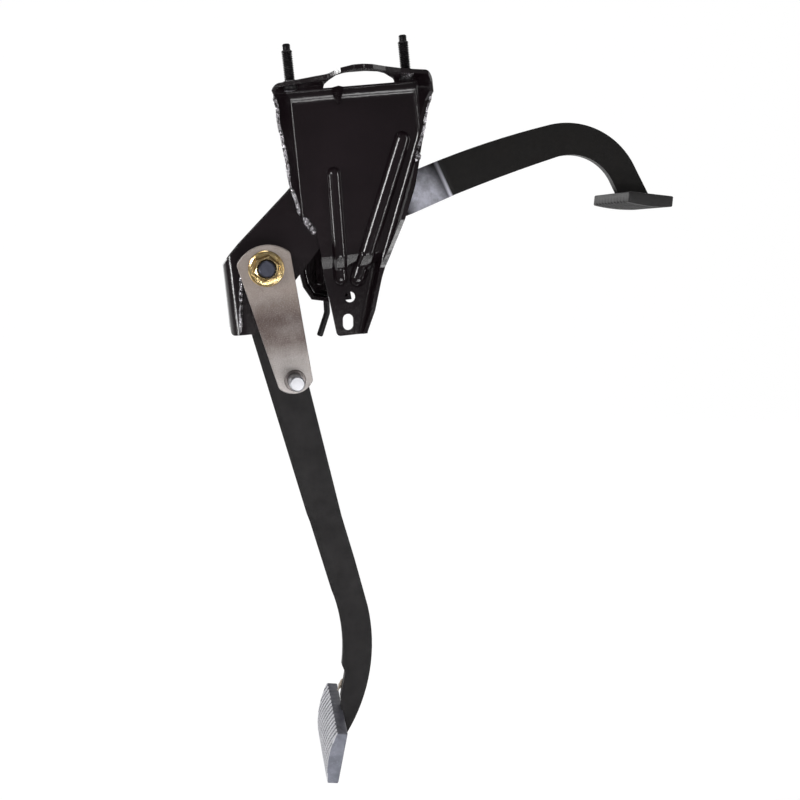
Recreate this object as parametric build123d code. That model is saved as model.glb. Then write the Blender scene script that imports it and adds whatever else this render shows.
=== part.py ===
"""Clutch and brake pedal assembly of a light truck, as separate pieces.

Frame, in millimetres: +Z runs along the mounting studs towards the front of the vehicle, +Y along the
pivot axis towards the clutch pedal, +X towards the floor. The origin lies on the firewall face, midway
between the two studs. The pieces are drawn with Y counted from the front shell's face and moved into this
frame on export. Both pedals stand as when the part lies loose: the brake pedal on its rest bumper, the
clutch pedal dropped.
"""
from build123d import *
from math import atan2, cos, degrees, hypot, radians, sin, sqrt, tan
import os

# Sheet and shell
SHEET = 3.0
FACE_LEFT = -42.5
FACE_RIGHT = 51.0
SHOULDER_Z = -44.0
TAPER_ANGLE = 22.0
TAB_TAPER_ANGLE = 17.3
TAB_SHOULDER_X = 40.9
LEFT_FLARE = 1.0
RIGHT_FLARE = 0.4
TOP_BEND = 12.0
SIDE_BEND = 5.0
CORNER_RADIUS = 5.2
SHOULDER_RADIUS = 24.0
SHELL_BOTTOM = -189.0
JOGGLE_Z = -128.0
JOGGLE_DEPTH = 8.0
JOGGLE_RUN = 9.0
BACK_DEPTH = 95.0

# Firewall flange and studs
STUD_X = 42.8
STUD_Y = -13.0
STUD_RADIUS = 4.0
STUD_LENGTH = 27.2
STUD_DOG_RADIUS = 2.9
STUD_DOG_LENGTH = 4.5
STUD_HEAD_RADIUS = 5.2
STUD_HEAD_HEIGHT = 2.4
STUD_FIT = 0.1
STUD_KNURL_RADIUS = 4.5
STUD_POCKET = 0.4
FLANGE_LEFT = -57.0
FLANGE_RIGHT = 62.5
TONGUE_REACH = -78.3
TONGUE_ROUND = 9.0
OPENING_ROUND = 6.0
OPENING_FLOOR = -5.0

# Ribs, dart and tab holes
RIB_HEIGHT = 4.0
RIB_WALL = 2.0
LEFT_RIB_WIDTH = 11.0
RIGHT_RIB_WIDTH = 12.5
DART_X = -7.8
DART_HALF_WIDTH = 8.0
DART_REACH = 15.0
TAB_HOLE_RADIUS = 4.1
TAB_HOLE = (-13.2, -160.1)
TAB_SLOT_WIDTH = 8.0
TAB_SLOT_LENGTH = 12.4
TAB_SLOT = (-16.7, -178.9)
TAB_SLOT_TILT = 5.0

# Pivot
PIVOT_X = -75.4
PIVOT_Z = -131.9
SHAFT_RADIUS = 8.0
SHAFT_FIT = 0.08
BUSH_FLANGE = 1.5
BOSS_WALL = 4.0
BOSS_FIT = 0.1
BOSS_FRONT = -10.0
BOSS_REACH = 12.0
CHEEK_SHEET = 3.5
CHEEK_BEND = 9.0
CHEEK_LEFT = -106.0
CHEEK_RIGHT = 12.0
REAR_CHEEK_RIGHT = -14.0
CHEEK_BOTTOM = -180.0
RUNNING_GAP = 0.3

# Clutch side
WASHER_THICKNESS = 1.6
WASHER_RADIUS = 14.0
LEVER_THICKNESS = 6.0
LEVER_REACH = 85.0
LEVER_ANGLE = 8.1
LEVER_HEAD_HALF = 20.2
LEVER_FOOT_HALF = 13.0
LEVER_HEAD_RADIUS = 26.0
LEVER_FOOT_REACH = 9.8
SEAT_RADIUS = 7.0
THREAD_RADIUS = 6.0
NUT_ACROSS = 18.0
NUT_HEIGHT = 11.0
NUT_FLANGE_RADIUS = 13.2
NUT_FLANGE_HEIGHT = 2.4
THREAD_PROUD = 1.5
PIN_RADIUS = 5.6
PIN_LENGTH = 25.0
PIN_COLLAR_RADIUS = 8.0
PIN_COLLAR_HEIGHT = 1.6
PIN_GROOVE_DEPTH = 0.9
PIN_GROOVE_WIDTH = 2.0
ARM_THICKNESS = 8.0
CLUTCH_HEAD_RADIUS = 22.0
CLUTCH_ARM_LENGTH = 414.3

# Brake side
HUB_RADIUS = 14.0
BRAKE_HEAD_RADIUS = 18.5
BRAKE_INNER_Y = 41.0
BRAKE_OUTER_Y = 21.0
BRAKE_ARM_LENGTH = 296.8
BRAKE_JOG_START = 39.0
BRAKE_JOG_END = 71.0
BRAKE_JOG_Z = -78.0
BRAKE_JOG_TILT = 19.7
BRAKE_JOG_BEND = 12.0
BRAKE_PIN_RADIUS = 6.0
BRAKE_PIN_LENGTH = 24.0
BRAKE_PIN_X = 6.0
BRAKE_PIN_Z = -92.0
ACCESS_RADIUS = 14.0

# Pads
CLUTCH_PAD_SIZE = (75.0, 52.5, 9.7)
CLUTCH_PAD_CENTRE = (-62.8, 113.0, PIVOT_Z - CLUTCH_ARM_LENGTH)
CLUTCH_PAD_LEAN = 13.2
CLUTCH_PAD_TURN = 14.0
CLUTCH_PAD_TILT = 3.3
CLUTCH_PAD_CROWN = 3.2
BRAKE_PAD_SIZE = (72.0, 37.0, 8.1)
BRAKE_PAD_CENTRE = (PIVOT_X + BRAKE_ARM_LENGTH, 25.0, -112.6)
BRAKE_PAD_LEAN = 11.0
BRAKE_PAD_TURN = 4.2
BRAKE_PAD_TILT = 0.4
BRAKE_PAD_CROWN = 1.2
PAD_LIP = 1.5
PAD_RIM = 3.0
PAD_PLATE = 3.0
PAD_FIT = 0.1
PAD_CORNER = 1.5
PAD_PLATE_CORNER = 1.5
PAD_ABOVE = 9.0
PAD_WINDOW = 5.0
PAD_GAP = 0.4
NOTCH_WIDTH = 11.0
TREAD_PITCH = 4.0
TREAD_DEPTH = 1.2
TREAD_MARGIN = 6.0


def at_y(y):
    """Sketch plane facing the viewer: local x is X, local y is Z."""
    return Plane(origin=(0, y, 0), x_dir=(1, 0, 0), z_dir=(0, -1, 0))


def plate(outline, y0, y1):
    """Solid of an XZ outline between two depths."""
    return extrude(at_y(y1) * outline, y1 - y0, dir=(0, -1, 0))


def side_prism(outline, x0, x1):
    """Solid of a YZ outline between two X values."""
    return extrude(Plane.YZ.offset(x0) * outline, x1 - x0, dir=(1, 0, 0))


def plan_prism(outline, z0, z1):
    """Solid of an XY outline between two heights."""
    return extrude(Plane.XY.offset(z0) * outline, z1 - z0, dir=(0, 0, 1))


def area(*points):
    return Polygon(*points, align=None)


def along_y(radius, x, z, y0, y1):
    """Cylinder along the pivot direction."""
    return Pos(x, (y0 + y1) / 2, z) * Rot(X=90) * Cylinder(radius, y1 - y0)


def tube_along_y(outer, inner, x, z, y0, y1):
    return along_y(outer, x, z, y0, y1) - along_y(inner, x, z, y0 - 1, y1 + 1)


def box(x0, x1, y0, y1, z0, z1):
    centre = Pos((x0 + x1) / 2, (y0 + y1) / 2, (z0 + z1) / 2)
    return centre * Box(x1 - x0, y1 - y0, z1 - z0)


def pill(start, end, width):
    """Round-ended strip in XZ between two points."""
    length = hypot(end[0] - start[0], end[1] - start[1])
    angle = degrees(atan2(end[1] - start[1], end[0] - start[0]))
    middle = ((start[0] + end[0]) / 2, (start[1] + end[1]) / 2)
    return Pos(*middle) * Rot(Z=angle) * SlotOverall(length + width, width)


def pan_solid(y_back, offset, shoulder_x, taper_angle):
    """Volume in front of the drawn pan: its face at y_back, its walls flaring towards the viewer.

    offset moves the walls and the top outwards by one sheet for the outer skin.
    """
    front = -100.0
    left_shift = offset * sqrt(1 + LEFT_FLARE ** 2)
    right_shift = offset * sqrt(1 + RIGHT_FLARE ** 2)
    top = -SHEET + offset
    low = SHELL_BOTTOM - 20.0
    run = (SHOULDER_Z - low) * tan(radians(taper_angle))

    def section(y):
        left = FACE_LEFT - left_shift + LEFT_FLARE * y
        right = shoulder_x + right_shift - RIGHT_FLARE * y
        outline = area((left, top), (left, low), (right - run, low), (right, SHOULDER_Z), (right, top))
        return at_y(y) * outline

    pan = loft([section(y_back), section(front)], ruled=True)
    walls = pan.edges().filter_by(lambda e: abs((e @ 0).Y - (e @ 1).Y) > 50)
    tops = walls.filter_by(lambda e: (e @ 0).Z > top - 1)
    pan = fillet(tops, CORNER_RADIUS + offset)
    shoulder = pan.edges().filter_by(
        lambda e: abs((e @ 0).Y - (e @ 1).Y) > 50 and abs((e @ 0).Z - SHOULDER_Z) < 1)
    pan = fillet(shoulder, SHOULDER_RADIUS)
    rim = pan.edges().filter_by(
        lambda e: abs((e @ 0).Y - y_back) < 0.01 and abs((e @ 1).Y - y_back) < 0.01
        and max((e @ 0).Z, (e @ 1).Z) > low + 1)
    pan = fillet(rim, SIDE_BEND + offset)
    corner = area((front - 20, low - 1), (y_back, low - 1), (y_back, top), (front - 20, top))
    corner = fillet(corner.vertices().filter_by(lambda v: v.X > y_back - 1 and v.Y > top - 1), TOP_BEND + offset)
    return pan & side_prism(corner, -200, 200)


def face_profile(shift):
    """YZ area in front of the stepped face, moved back by shift, below the joggle only."""
    slope = JOGGLE_DEPTH / JOGGLE_RUN
    rise = shift * (sqrt(1 + slope ** 2) - 1) / slope
    start = JOGGLE_Z + rise
    end = JOGGLE_Z - JOGGLE_RUN + rise
    back = JOGGLE_DEPTH + shift
    low = SHELL_BOTTOM - 30.0
    return area((shift - 120.0, start), (shift, start), (back, end), (back, low), (shift - 120.0, low))


def stepped_volume(offset):
    """Pan volume with the deeper tab below the joggle."""
    upper = pan_solid(offset, offset, FACE_RIGHT, TAPER_ANGLE)
    lower = pan_solid(JOGGLE_DEPTH + offset, offset, TAB_SHOULDER_X, TAB_TAPER_ANGLE)
    return upper + (lower & side_prism(face_profile(offset), -200, 200))


def flange_plan():
    """Plan of the firewall flange: a tongue round the clutch rod's opening."""
    tongue = area((FLANGE_LEFT, 20), (FLANGE_LEFT, -11), (-48, -18), (-36.5, -27), (-26.4, -36), (-18.4, -42),
                  (-15, -55), (-11.5, -68), (-4, TONGUE_REACH), (3, TONGUE_REACH), (10, -73), (21, -58),
                  (34, -42.5), (47, -30.5), (58, -22), (FLANGE_RIGHT, -16), (FLANGE_RIGHT, 20))
    tongue = fillet(tongue.vertices().filter_by(lambda v: abs(v.X + 18.4) < 0.1), TONGUE_ROUND)
    return fillet(tongue.vertices().filter_by(lambda v: v.Y < -67), TONGUE_ROUND / 3)


def opening_plan():
    """Opening for the clutch master cylinder's rod; its base cuts through the top bend."""
    plan = area((-19, 5), (-16.4, -32), (-13.6, -54), (-8.3, -64), (5.7, -63.6), (15.5, -56), (22, -44),
                (31.8, -15), (38, 5))
    return fillet(plan.vertices().filter_by(lambda v: v.Y < -40), OPENING_ROUND)


def rib(start, end, width):
    """Pressed rib: a round ridge on the near side, hollow behind, following the joggle."""
    radius = (width ** 2 / 4 + RIB_HEIGHT ** 2) / (2 * RIB_HEIGHT)
    axis_y = radius - RIB_HEIGHT
    joggle_end = JOGGLE_Z - JOGGLE_RUN
    low = SHELL_BOTTOM - 30.0

    def along(z):
        return start[0] + (end[0] - start[0]) * (z - start[1]) / (end[1] - start[1])

    points = [Vector(start[0], axis_y, start[1]), Vector(along(JOGGLE_Z), axis_y, JOGGLE_Z),
              Vector(along(joggle_end), axis_y + JOGGLE_DEPTH, joggle_end),
              Vector(end[0], axis_y + JOGGLE_DEPTH, end[1])]

    def ridge(r):
        solid = Pos(*points[0]) * Sphere(r)
        for a, b in zip(points, points[1:]):
            rod = Cylinder(r, (b - a).length, align=(Align.CENTER, Align.CENTER, Align.MIN))
            solid = solid + Plane(origin=a, z_dir=b - a) * rod + Pos(*b) * Sphere(r)
        return solid

    def band(near, far):
        rise = far * JOGGLE_DEPTH / JOGGLE_RUN / 2
        return area((near, 10), (near, JOGGLE_Z), (near + JOGGLE_DEPTH, joggle_end), (near + JOGGLE_DEPTH, low),
                    (far + JOGGLE_DEPTH, low), (far + JOGGLE_DEPTH, joggle_end + rise), (far, JOGGLE_Z + rise),
                    (far, 10))

    bead = ridge(radius) & side_prism(band(-RIB_HEIGHT - 1, SHEET / 2), -100, 100)
    hollow = ridge(radius - RIB_WALL) & side_prism(band(-RIB_HEIGHT - 1, SHEET + 9), -100, 100)
    return bead, hollow


def dart():
    """Stiffening dart across the top bend, solid wedge and the smaller hollow behind it."""

    def wedge(reach, half, back):
        corner = (back, -SHEET + back)
        tri = Plane.YZ.offset(DART_X) * area(corner, (back - reach, -SHEET + back), (back, -SHEET + back - reach))
        ends = [Vertex(DART_X - half, back, -SHEET + back), Vertex(DART_X + half, back, -SHEET + back)]
        return loft([ends[0], tri], ruled=True) + loft([tri, ends[1]], ruled=True)

    return wedge(DART_REACH, DART_HALF_WIDTH, 0.0), wedge(DART_REACH + 1, DART_HALF_WIDTH - 1, SHEET + 0.2)


def front_shell():
    skin = stepped_volume(SHEET) - stepped_volume(0.0)
    skin = skin & plan_prism(flange_plan(), SHELL_BOTTOM - 10, 5)
    outline = area((-58, 5), (-57.2, -3), (-55.2, -9), (-54.0, -20), (-53.2, -40), (-51.8, -55), (-50.4, -64),
                   (-48.9, -78), (-45.5, -94), (-43, -102), (-34, -112),
                   (-33, -120), (-31, -145), (-26, SHELL_BOTTOM), (80, SHELL_BOTTOM), (80, 5))
    outline = fillet(outline.vertices().filter_by(
        lambda v: abs(v.X + 26) < 0.1 or abs(v.X + 34) < 0.1 or abs(v.X + 33) < 0.1), 3.0)
    skin = skin & plate(outline, -120, 40)
    lip = area((-120, -8), (-19, -8), (-18, -15), (-11, -20.5), (-6, -27), (-1.5, -34), (-1, -49),
               (-2.5, -56), (-5, -65), (-9, -82), (-8, -106), (-2.5, -128), (0, -140), (0.5, -172),
               (5, -187), (5, -200), (-120, -200))
    skin = skin - side_prism(lip, -20, 120)
    for sign in (-1, 1):
        hole = Cylinder(STUD_KNURL_RADIUS + STUD_FIT, 20)
        pocket = Pos(0, 0, -SHEET - 3) * Cylinder(STUD_HEAD_RADIUS + STUD_POCKET, 6)
        skin = skin - Pos(sign * STUD_X, STUD_Y, 0) * (hole + pocket)
    for start, end, width in (((-16.7, -67.5), (-19.0, -145.5), LEFT_RIB_WIDTH),
                              ((37.4, -46.5), (-6.0, -147.0), RIGHT_RIB_WIDTH)):
        bead, hollow = rib(start, end, width)
        skin = skin + bead - hollow
    wedge, notch = dart()
    skin = skin + wedge - notch
    skin = skin - plan_prism(opening_plan(), OPENING_FLOOR, 5)
    skin = skin - (plan_prism(opening_plan(), -15, 5) & box(-60, 60, -100, -TOP_BEND - 1, -20, 10))
    skin = skin - plate(Pos(*TAB_HOLE) * Circle(TAB_HOLE_RADIUS), -5, 30)
    slot = Pos(*TAB_SLOT) * Rot(Z=90 - TAB_SLOT_TILT) * SlotOverall(TAB_SLOT_LENGTH, TAB_SLOT_WIDTH)
    return skin - plate(slot, -5, 30)


def cheek_outline(left, right):
    return area((right, -62), (-36, -62), (-48.5, -73.8), (-91.6, -111.2), (left + 6, -119.5), (left, -126.5),
                (left, CHEEK_BOTTOM), (-88.5, CHEEK_BOTTOM), (-31.8, -120.0), (right - 10, -120.0), (right, -104))


def front_pivot_cheek():
    """Diagonal cheek behind the front shell, with its left edge rolled back into a web."""
    near = SHEET
    far = SHEET + CHEEK_SHEET
    web_end = BACK_DEPTH - SHEET - CHEEK_SHEET
    outer = area((40, near), (CHEEK_LEFT, near), (CHEEK_LEFT, web_end), (40, web_end))
    inner_left = CHEEK_LEFT + CHEEK_SHEET
    inner = area((50, far), (inner_left, far), (inner_left, web_end + 5), (50, web_end + 5))
    outer = fillet(outer.vertices().sort_by(Axis.X)[:2].sort_by(Axis.Y)[0], CHEEK_BEND + CHEEK_SHEET)
    inner = fillet(inner.vertices().sort_by(Axis.X)[:2].sort_by(Axis.Y)[0], CHEEK_BEND)
    sheet = plan_prism(outer - inner, CHEEK_BOTTOM - 5, -50)
    outline = fillet(cheek_outline(CHEEK_LEFT, CHEEK_RIGHT).vertices().filter_by(lambda v: v.X < -80), 3.0)
    cheek = sheet & plate(outline, -5, web_end)
    taper = area((SHEET - 10, -60), (SHEET - 10, CHEEK_BOTTOM), (20, CHEEK_BOTTOM), (web_end + 1, CHEEK_BOTTOM + 10),
                 (web_end + 1, -60))
    cheek = cheek & side_prism(taper, -120, 60)
    return cheek - along_y(HUB_RADIUS + BOSS_FIT, PIVOT_X, PIVOT_Z, -5, 30)


def rear_pivot_cheek():
    """Flat far cheek, with a tab bent outwards that carries the clutch pedal's rest bumper."""
    far = BACK_DEPTH - SHEET
    near = far - CHEEK_SHEET
    outline = fillet(cheek_outline(CHEEK_LEFT, REAR_CHEEK_RIGHT).vertices().filter_by(lambda v: v.X < -80), 3.0)
    cheek = plate(outline, near, far)
    tab = box(CHEEK_LEFT, CHEEK_LEFT + CHEEK_SHEET, near, far + 24, STOP_TAB_LOW, STOP_TAB_HIGH)
    tab = fillet(tab.edges().filter_by(Axis.X).filter_by(lambda e: e.center().Y > far + 20), 5.0)
    cheek = cheek + tab
    screw = Pos(CHEEK_LEFT, CLUTCH_NEAR + ARM_THICKNESS / 2, STOP_Z) * Rot(Y=90) * Cylinder(STOP_STEM_RADIUS + 0.1, 20)
    return cheek - screw - along_y(HUB_RADIUS + BOSS_FIT, PIVOT_X, PIVOT_Z, 60, 110)


def clutch_stop_bumper():
    """Rubber bumper with a stem through the rest tab; the clutch arm's edge lies on its crown."""
    y = CLUTCH_NEAR + ARM_THICKNESS / 2
    seat = CHEEK_LEFT + CHEEK_SHEET
    head = Pos(seat + STOP_HEIGHT / 2, y, STOP_Z) * Rot(Y=90) * Cylinder(STOP_RADIUS, STOP_HEIGHT)
    head = fillet(head.edges().sort_by(Axis.X)[-1], 3.0)
    stem = Pos(seat - CHEEK_SHEET / 2, y, STOP_Z) * Rot(Y=90) * Cylinder(STOP_STEM_RADIUS, CHEEK_SHEET)
    return head + stem


def rear_shell():
    """Back half of the bracket: a drawn pan that opens towards the front cheek."""
    back = BACK_DEPTH
    outline = area((REAR_LEFT, 0), (REAR_RIGHT, 0), (REAR_RIGHT, SHOULDER_Z), (REAR_FOOT - 1, -152),
                   (REAR_FOOT, REAR_BOTTOM), (-23, REAR_BOTTOM), (-37.3, REAR_BOTTOM + 3.2), (-43.2, -151.5),
                   (REAR_LEFT, -142))
    outer = extrude(at_y(back) * outline, back + 5, dir=(0, -1, 0))
    outer = fillet(outer.edges().filter_by(Axis.Y).filter_by(lambda e: e.center().Z > -60), REAR_CORNER)
    outer = fillet(outer.faces().sort_by(Axis.Y)[-1].outer_wire().edges(), REAR_BEND)
    inside = offset(outline, -SHEET, kind=Kind.INTERSECTION)
    inner = extrude(at_y(back - SHEET) * inside, back + 5, dir=(0, -1, 0))
    inner = fillet(inner.edges().filter_by(Axis.Y).filter_by(lambda e: e.center().Z > -60), REAR_CORNER - SHEET)
    inner = fillet(inner.faces().sort_by(Axis.Y)[-1].outer_wire().edges(), REAR_BEND - SHEET)
    pan = outer - inner
    start = SHEET
    pan = pan - box(-60, 90, -20, start, -200, 10)
    pan = pan - box(-60, REAR_LEFT + 6.5, -20, back - SHEET, -138, -60)
    pan = pan - box(-60, 90, -20, back - 16, -200, -138)
    pan = pan - box(REAR_LEFT + 6, 90, -20, back - REAR_SIDE_DEPTH, -139, -SHEET - REAR_BEND)
    pan = pan - plan_prism(Pos(BOOSTER_X, BOOSTER_Y) * Circle(BOOSTER_OPENING), -20, 10)
    pan = pan - box(BOOSTER_X - BOOSTER_OPENING, REAR_RIGHT - TOP_STRIP, -5, BOOSTER_Y, -20, 10)
    for x in (BOOSTER_X - BOOSTER_BOLT_X, BOOSTER_X + BOOSTER_BOLT_X):
        pan = pan - Pos(x, BOOSTER_Y + BOOSTER_BOLT_Y, 0) * Cylinder(BOOSTER_HOLE, 30)
    pan = pan - along_y(ACCESS_RADIUS, BRAKE_PIN_X, BRAKE_PIN_Z, back - 20, back + 10)
    bead = extrude(at_y(back) * pill((-27, -126), (-28, -148), 8.5), SHEET + 3.2, taper=12)
    groove = extrude(at_y(back + 1) * pill((-27, -126), (-28, -148), 3.5), SHEET + 1.5)
    pan = pan + bead - groove
    return pan - Pos(HOOK_X, HOOK_Y, REAR_BOTTOM) * Cylinder(HOOK_RADIUS + 0.25, 20)


def spring_hook():
    """Bent round rod that stands in the rear shell's lower lip."""
    path = FilletPolyline((HOOK_X, HOOK_Y, REAR_BOTTOM + 5), (HOOK_X - 0.6, HOOK_Y, REAR_BOTTOM - 9),
                          (HOOK_X - 9, HOOK_Y, REAR_BOTTOM - 28), radius=HOOK_BEND)
    section = Plane(origin=path @ 0, z_dir=path % 0) * Circle(HOOK_RADIUS)
    rod = sweep(section, path=path)
    return fillet(rod.edges().sort_by(Axis.Z)[0], HOOK_RADIUS * 0.6)


def mounting_studs():
    studs = []
    for sign in (-1, 1):
        shank = Pos(0, 0, (STUD_LENGTH - STUD_DOG_LENGTH) / 2)
        shank = shank * Cylinder(STUD_RADIUS, STUD_LENGTH - STUD_DOG_LENGTH)
        shank = chamfer(shank.edges().sort_by(Axis.Z)[-1], 0.8)
        shank = shank + Pos(0, 0, -SHEET / 2) * Cylinder(STUD_KNURL_RADIUS, SHEET)
        dog = Pos(0, 0, STUD_LENGTH - STUD_DOG_LENGTH / 2 - 0.5) * Cylinder(STUD_DOG_RADIUS, STUD_DOG_LENGTH + 1)
        dog = chamfer(dog.edges().sort_by(Axis.Z)[-1], 0.7)
        head = Pos(0, 0, -SHEET - STUD_HEAD_HEIGHT / 2) * Cylinder(STUD_HEAD_RADIUS, STUD_HEAD_HEIGHT)
        head = fillet(head.edges().sort_by(Axis.Z)[0], 0.8)
        studs.append(Pos(sign * STUD_X, STUD_Y, 0) * (shank + dog + head))
    return studs


def boss(y0, y1):
    return tube_along_y(HUB_RADIUS, HUB_RADIUS - BOSS_WALL, PIVOT_X, PIVOT_Z, y0, y1)


def bushing(y_flange, y_end):
    """Flanged plastic bush: the flange lies outside y_flange, the sleeve runs to y_end."""
    sign = 1 if y_end > y_flange else -1
    sleeve = sorted((y_flange, y_end))
    flange = sorted((y_flange, y_flange - sign * BUSH_FLANGE))
    outer = along_y(HUB_RADIUS - BOSS_WALL - BOSS_FIT, PIVOT_X, PIVOT_Z, *sleeve)
    outer = outer + along_y(HUB_RADIUS - 1, PIVOT_X, PIVOT_Z, *flange)
    return outer - along_y(SHAFT_RADIUS + SHAFT_FIT, PIVOT_X, PIVOT_Z, -100, 200)


def washer(y0, y1):
    return tube_along_y(WASHER_RADIUS, SHAFT_RADIUS + SHAFT_FIT, PIVOT_X, PIVOT_Z, y0, y1)


def cross_shaft():
    """Shaft through the bracket: threaded end, lever seat with two flats, journal."""
    shaft = along_y(SHAFT_RADIUS, PIVOT_X, PIVOT_Z, LEVER_BACK, CLUTCH_NEAR + ARM_THICKNESS)
    seat = along_y(SEAT_RADIUS, PIVOT_X, PIVOT_Z, LEVER_FRONT, LEVER_BACK)
    seat = seat & box(PIVOT_X - SEAT_FLAT, PIVOT_X + SEAT_FLAT, -80, 0, PIVOT_Z - 20, PIVOT_Z + 20)
    thread_end = LEVER_FRONT - NUT_HEIGHT - THREAD_PROUD
    thread = along_y(THREAD_RADIUS, PIVOT_X, PIVOT_Z, thread_end, LEVER_FRONT)
    thread = chamfer(thread.edges().sort_by(Axis.Y)[0], 1.0)
    return shaft + seat + thread


def lever_outline():
    """Lever seen from the near side: local x points from the pivot to the pin."""
    head_x = -LEVER_HEAD_RADIUS + 8.6
    foot_x = LEVER_REACH + LEVER_FOOT_REACH
    shoulder = -7.5
    toe = LEVER_REACH + 3.0
    lines = Curve() + [
        ThreePointArc((shoulder, -LEVER_HEAD_HALF), (head_x, 0), (shoulder, LEVER_HEAD_HALF)),
        Line((shoulder, LEVER_HEAD_HALF), (toe, LEVER_FOOT_HALF)),
        ThreePointArc((toe, LEVER_FOOT_HALF), (foot_x, 0), (toe, -LEVER_FOOT_HALF)),
        Line((toe, -LEVER_FOOT_HALF), (shoulder, -LEVER_HEAD_HALF)),
    ]
    shape = fillet(make_face(lines).vertices(), 4.0)
    return Pos(PIVOT_X, PIVOT_Z) * Rot(Z=LEVER_ANGLE - 90) * shape


def clutch_lever():
    lever = plate(lever_outline(), LEVER_FRONT, LEVER_BACK)
    lever = fillet(lever.faces().sort_by(Axis.Y)[0].outer_wire().edges(), 0.8)
    seat = along_y(SEAT_RADIUS + SHAFT_FIT, PIVOT_X, PIVOT_Z, LEVER_FRONT - 1, LEVER_BACK + 1)
    flat = SEAT_FLAT + SHAFT_FIT
    seat = seat & box(PIVOT_X - flat, PIVOT_X + flat, -80, 0, PIVOT_Z - 20, PIVOT_Z + 20)
    lever = lever - seat
    return lever - along_y(PIN_STEM_RADIUS + BOSS_FIT, PIN_X, PIN_Z, LEVER_FRONT - 1, LEVER_BACK + 1)


def lever_pin():
    """Riveted pin for the clutch master cylinder's rod, with a groove for its clip."""
    end = LEVER_FRONT - PIN_LENGTH
    pin = along_y(PIN_RADIUS, PIN_X, PIN_Z, end, LEVER_FRONT)
    pin = chamfer(pin.edges().sort_by(Axis.Y)[0], 0.9)
    groove = tube_along_y(PIN_RADIUS + 2, PIN_RADIUS - PIN_GROOVE_DEPTH, PIN_X, PIN_Z, end + 3.2,
                          end + 3.2 + PIN_GROOVE_WIDTH)
    collar = along_y(PIN_COLLAR_RADIUS, PIN_X, PIN_Z, LEVER_FRONT - PIN_COLLAR_HEIGHT, LEVER_FRONT)
    collar = fillet(collar.edges().sort_by(Axis.Y)[0], 0.5)
    stem = along_y(PIN_STEM_RADIUS, PIN_X, PIN_Z, LEVER_FRONT, LEVER_BACK + 1.0)
    return pin + collar + stem - groove


def flange_nut():
    flange_top = LEVER_FRONT - NUT_FLANGE_HEIGHT
    nut = along_y(NUT_FLANGE_RADIUS, PIVOT_X, PIVOT_Z, flange_top, LEVER_FRONT)
    cone = Pos(PIVOT_X, flange_top - 1.2, PIVOT_Z) * Rot(X=90) * Cone(NUT_FLANGE_RADIUS - 0.3, NUT_ACROSS / 2, 2.4)
    hexagon = Pos(PIVOT_X, PIVOT_Z) * Rot(Z=NUT_TURN) * RegularPolygon(NUT_ACROSS / 2, 6, major_radius=False)
    body = plate(hexagon, LEVER_FRONT - NUT_HEIGHT, LEVER_FRONT)
    crown = Pos(PIVOT_X, LEVER_FRONT - NUT_HEIGHT / 2, PIVOT_Z) * Rot(X=90)
    crown = crown * Cone(NUT_ACROSS / 2 + NUT_HEIGHT, NUT_ACROSS / 2 - 0.3, NUT_HEIGHT)
    nut = nut + cone + (body & crown)
    return nut - along_y(THREAD_RADIUS + SHAFT_FIT, PIVOT_X, PIVOT_Z, LEVER_FRONT - 30, LEVER_FRONT + 5)


def pad_plane(size, centre, normal, up, lean, turn, tilt):
    """Plane on a pad's tread: local x across the car, local y up the arm, z out of the tread."""
    width = Vector(0, 1, 0)
    n = Vector(*normal).rotate(Axis.Y, lean)
    u = Vector(*up).rotate(Axis.Y, lean)
    t = radians(tilt)
    n, width = n * cos(t) - width * sin(t), n * sin(t) + width * cos(t)
    a = radians(turn)
    width, u = width * cos(a) + u * sin(a), u * cos(a) - width * sin(a)
    if width.cross(u).dot(n) < 0:
        width = width * -1
    return Plane(origin=centre, x_dir=width, z_dir=n)


CLUTCH_PLANE = pad_plane(CLUTCH_PAD_SIZE, CLUTCH_PAD_CENTRE, (-1, 0, 0), (0, 0, 1),
                         CLUTCH_PAD_LEAN, CLUTCH_PAD_TURN, CLUTCH_PAD_TILT)
BRAKE_PLANE = pad_plane(BRAKE_PAD_SIZE, BRAKE_PAD_CENTRE, (0, 0, -1), (-1, 0, 0),
                        BRAKE_PAD_LEAN, BRAKE_PAD_TURN, BRAKE_PAD_TILT)


def plate_size(size):
    return size[0] - 2 * PAD_RIM, size[1] - 2 * PAD_RIM


def crown_volume(plane, size, crown, inset):
    """Cylinder whose near side is a pad's crowned tread, set back by inset."""
    radius = (size[1] ** 2 / 4 + crown ** 2) / (2 * crown)
    return plane * (Pos(0, 0, crown - radius) * Rot(Y=90) * Cylinder(radius - inset, 3 * size[0]))


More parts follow.
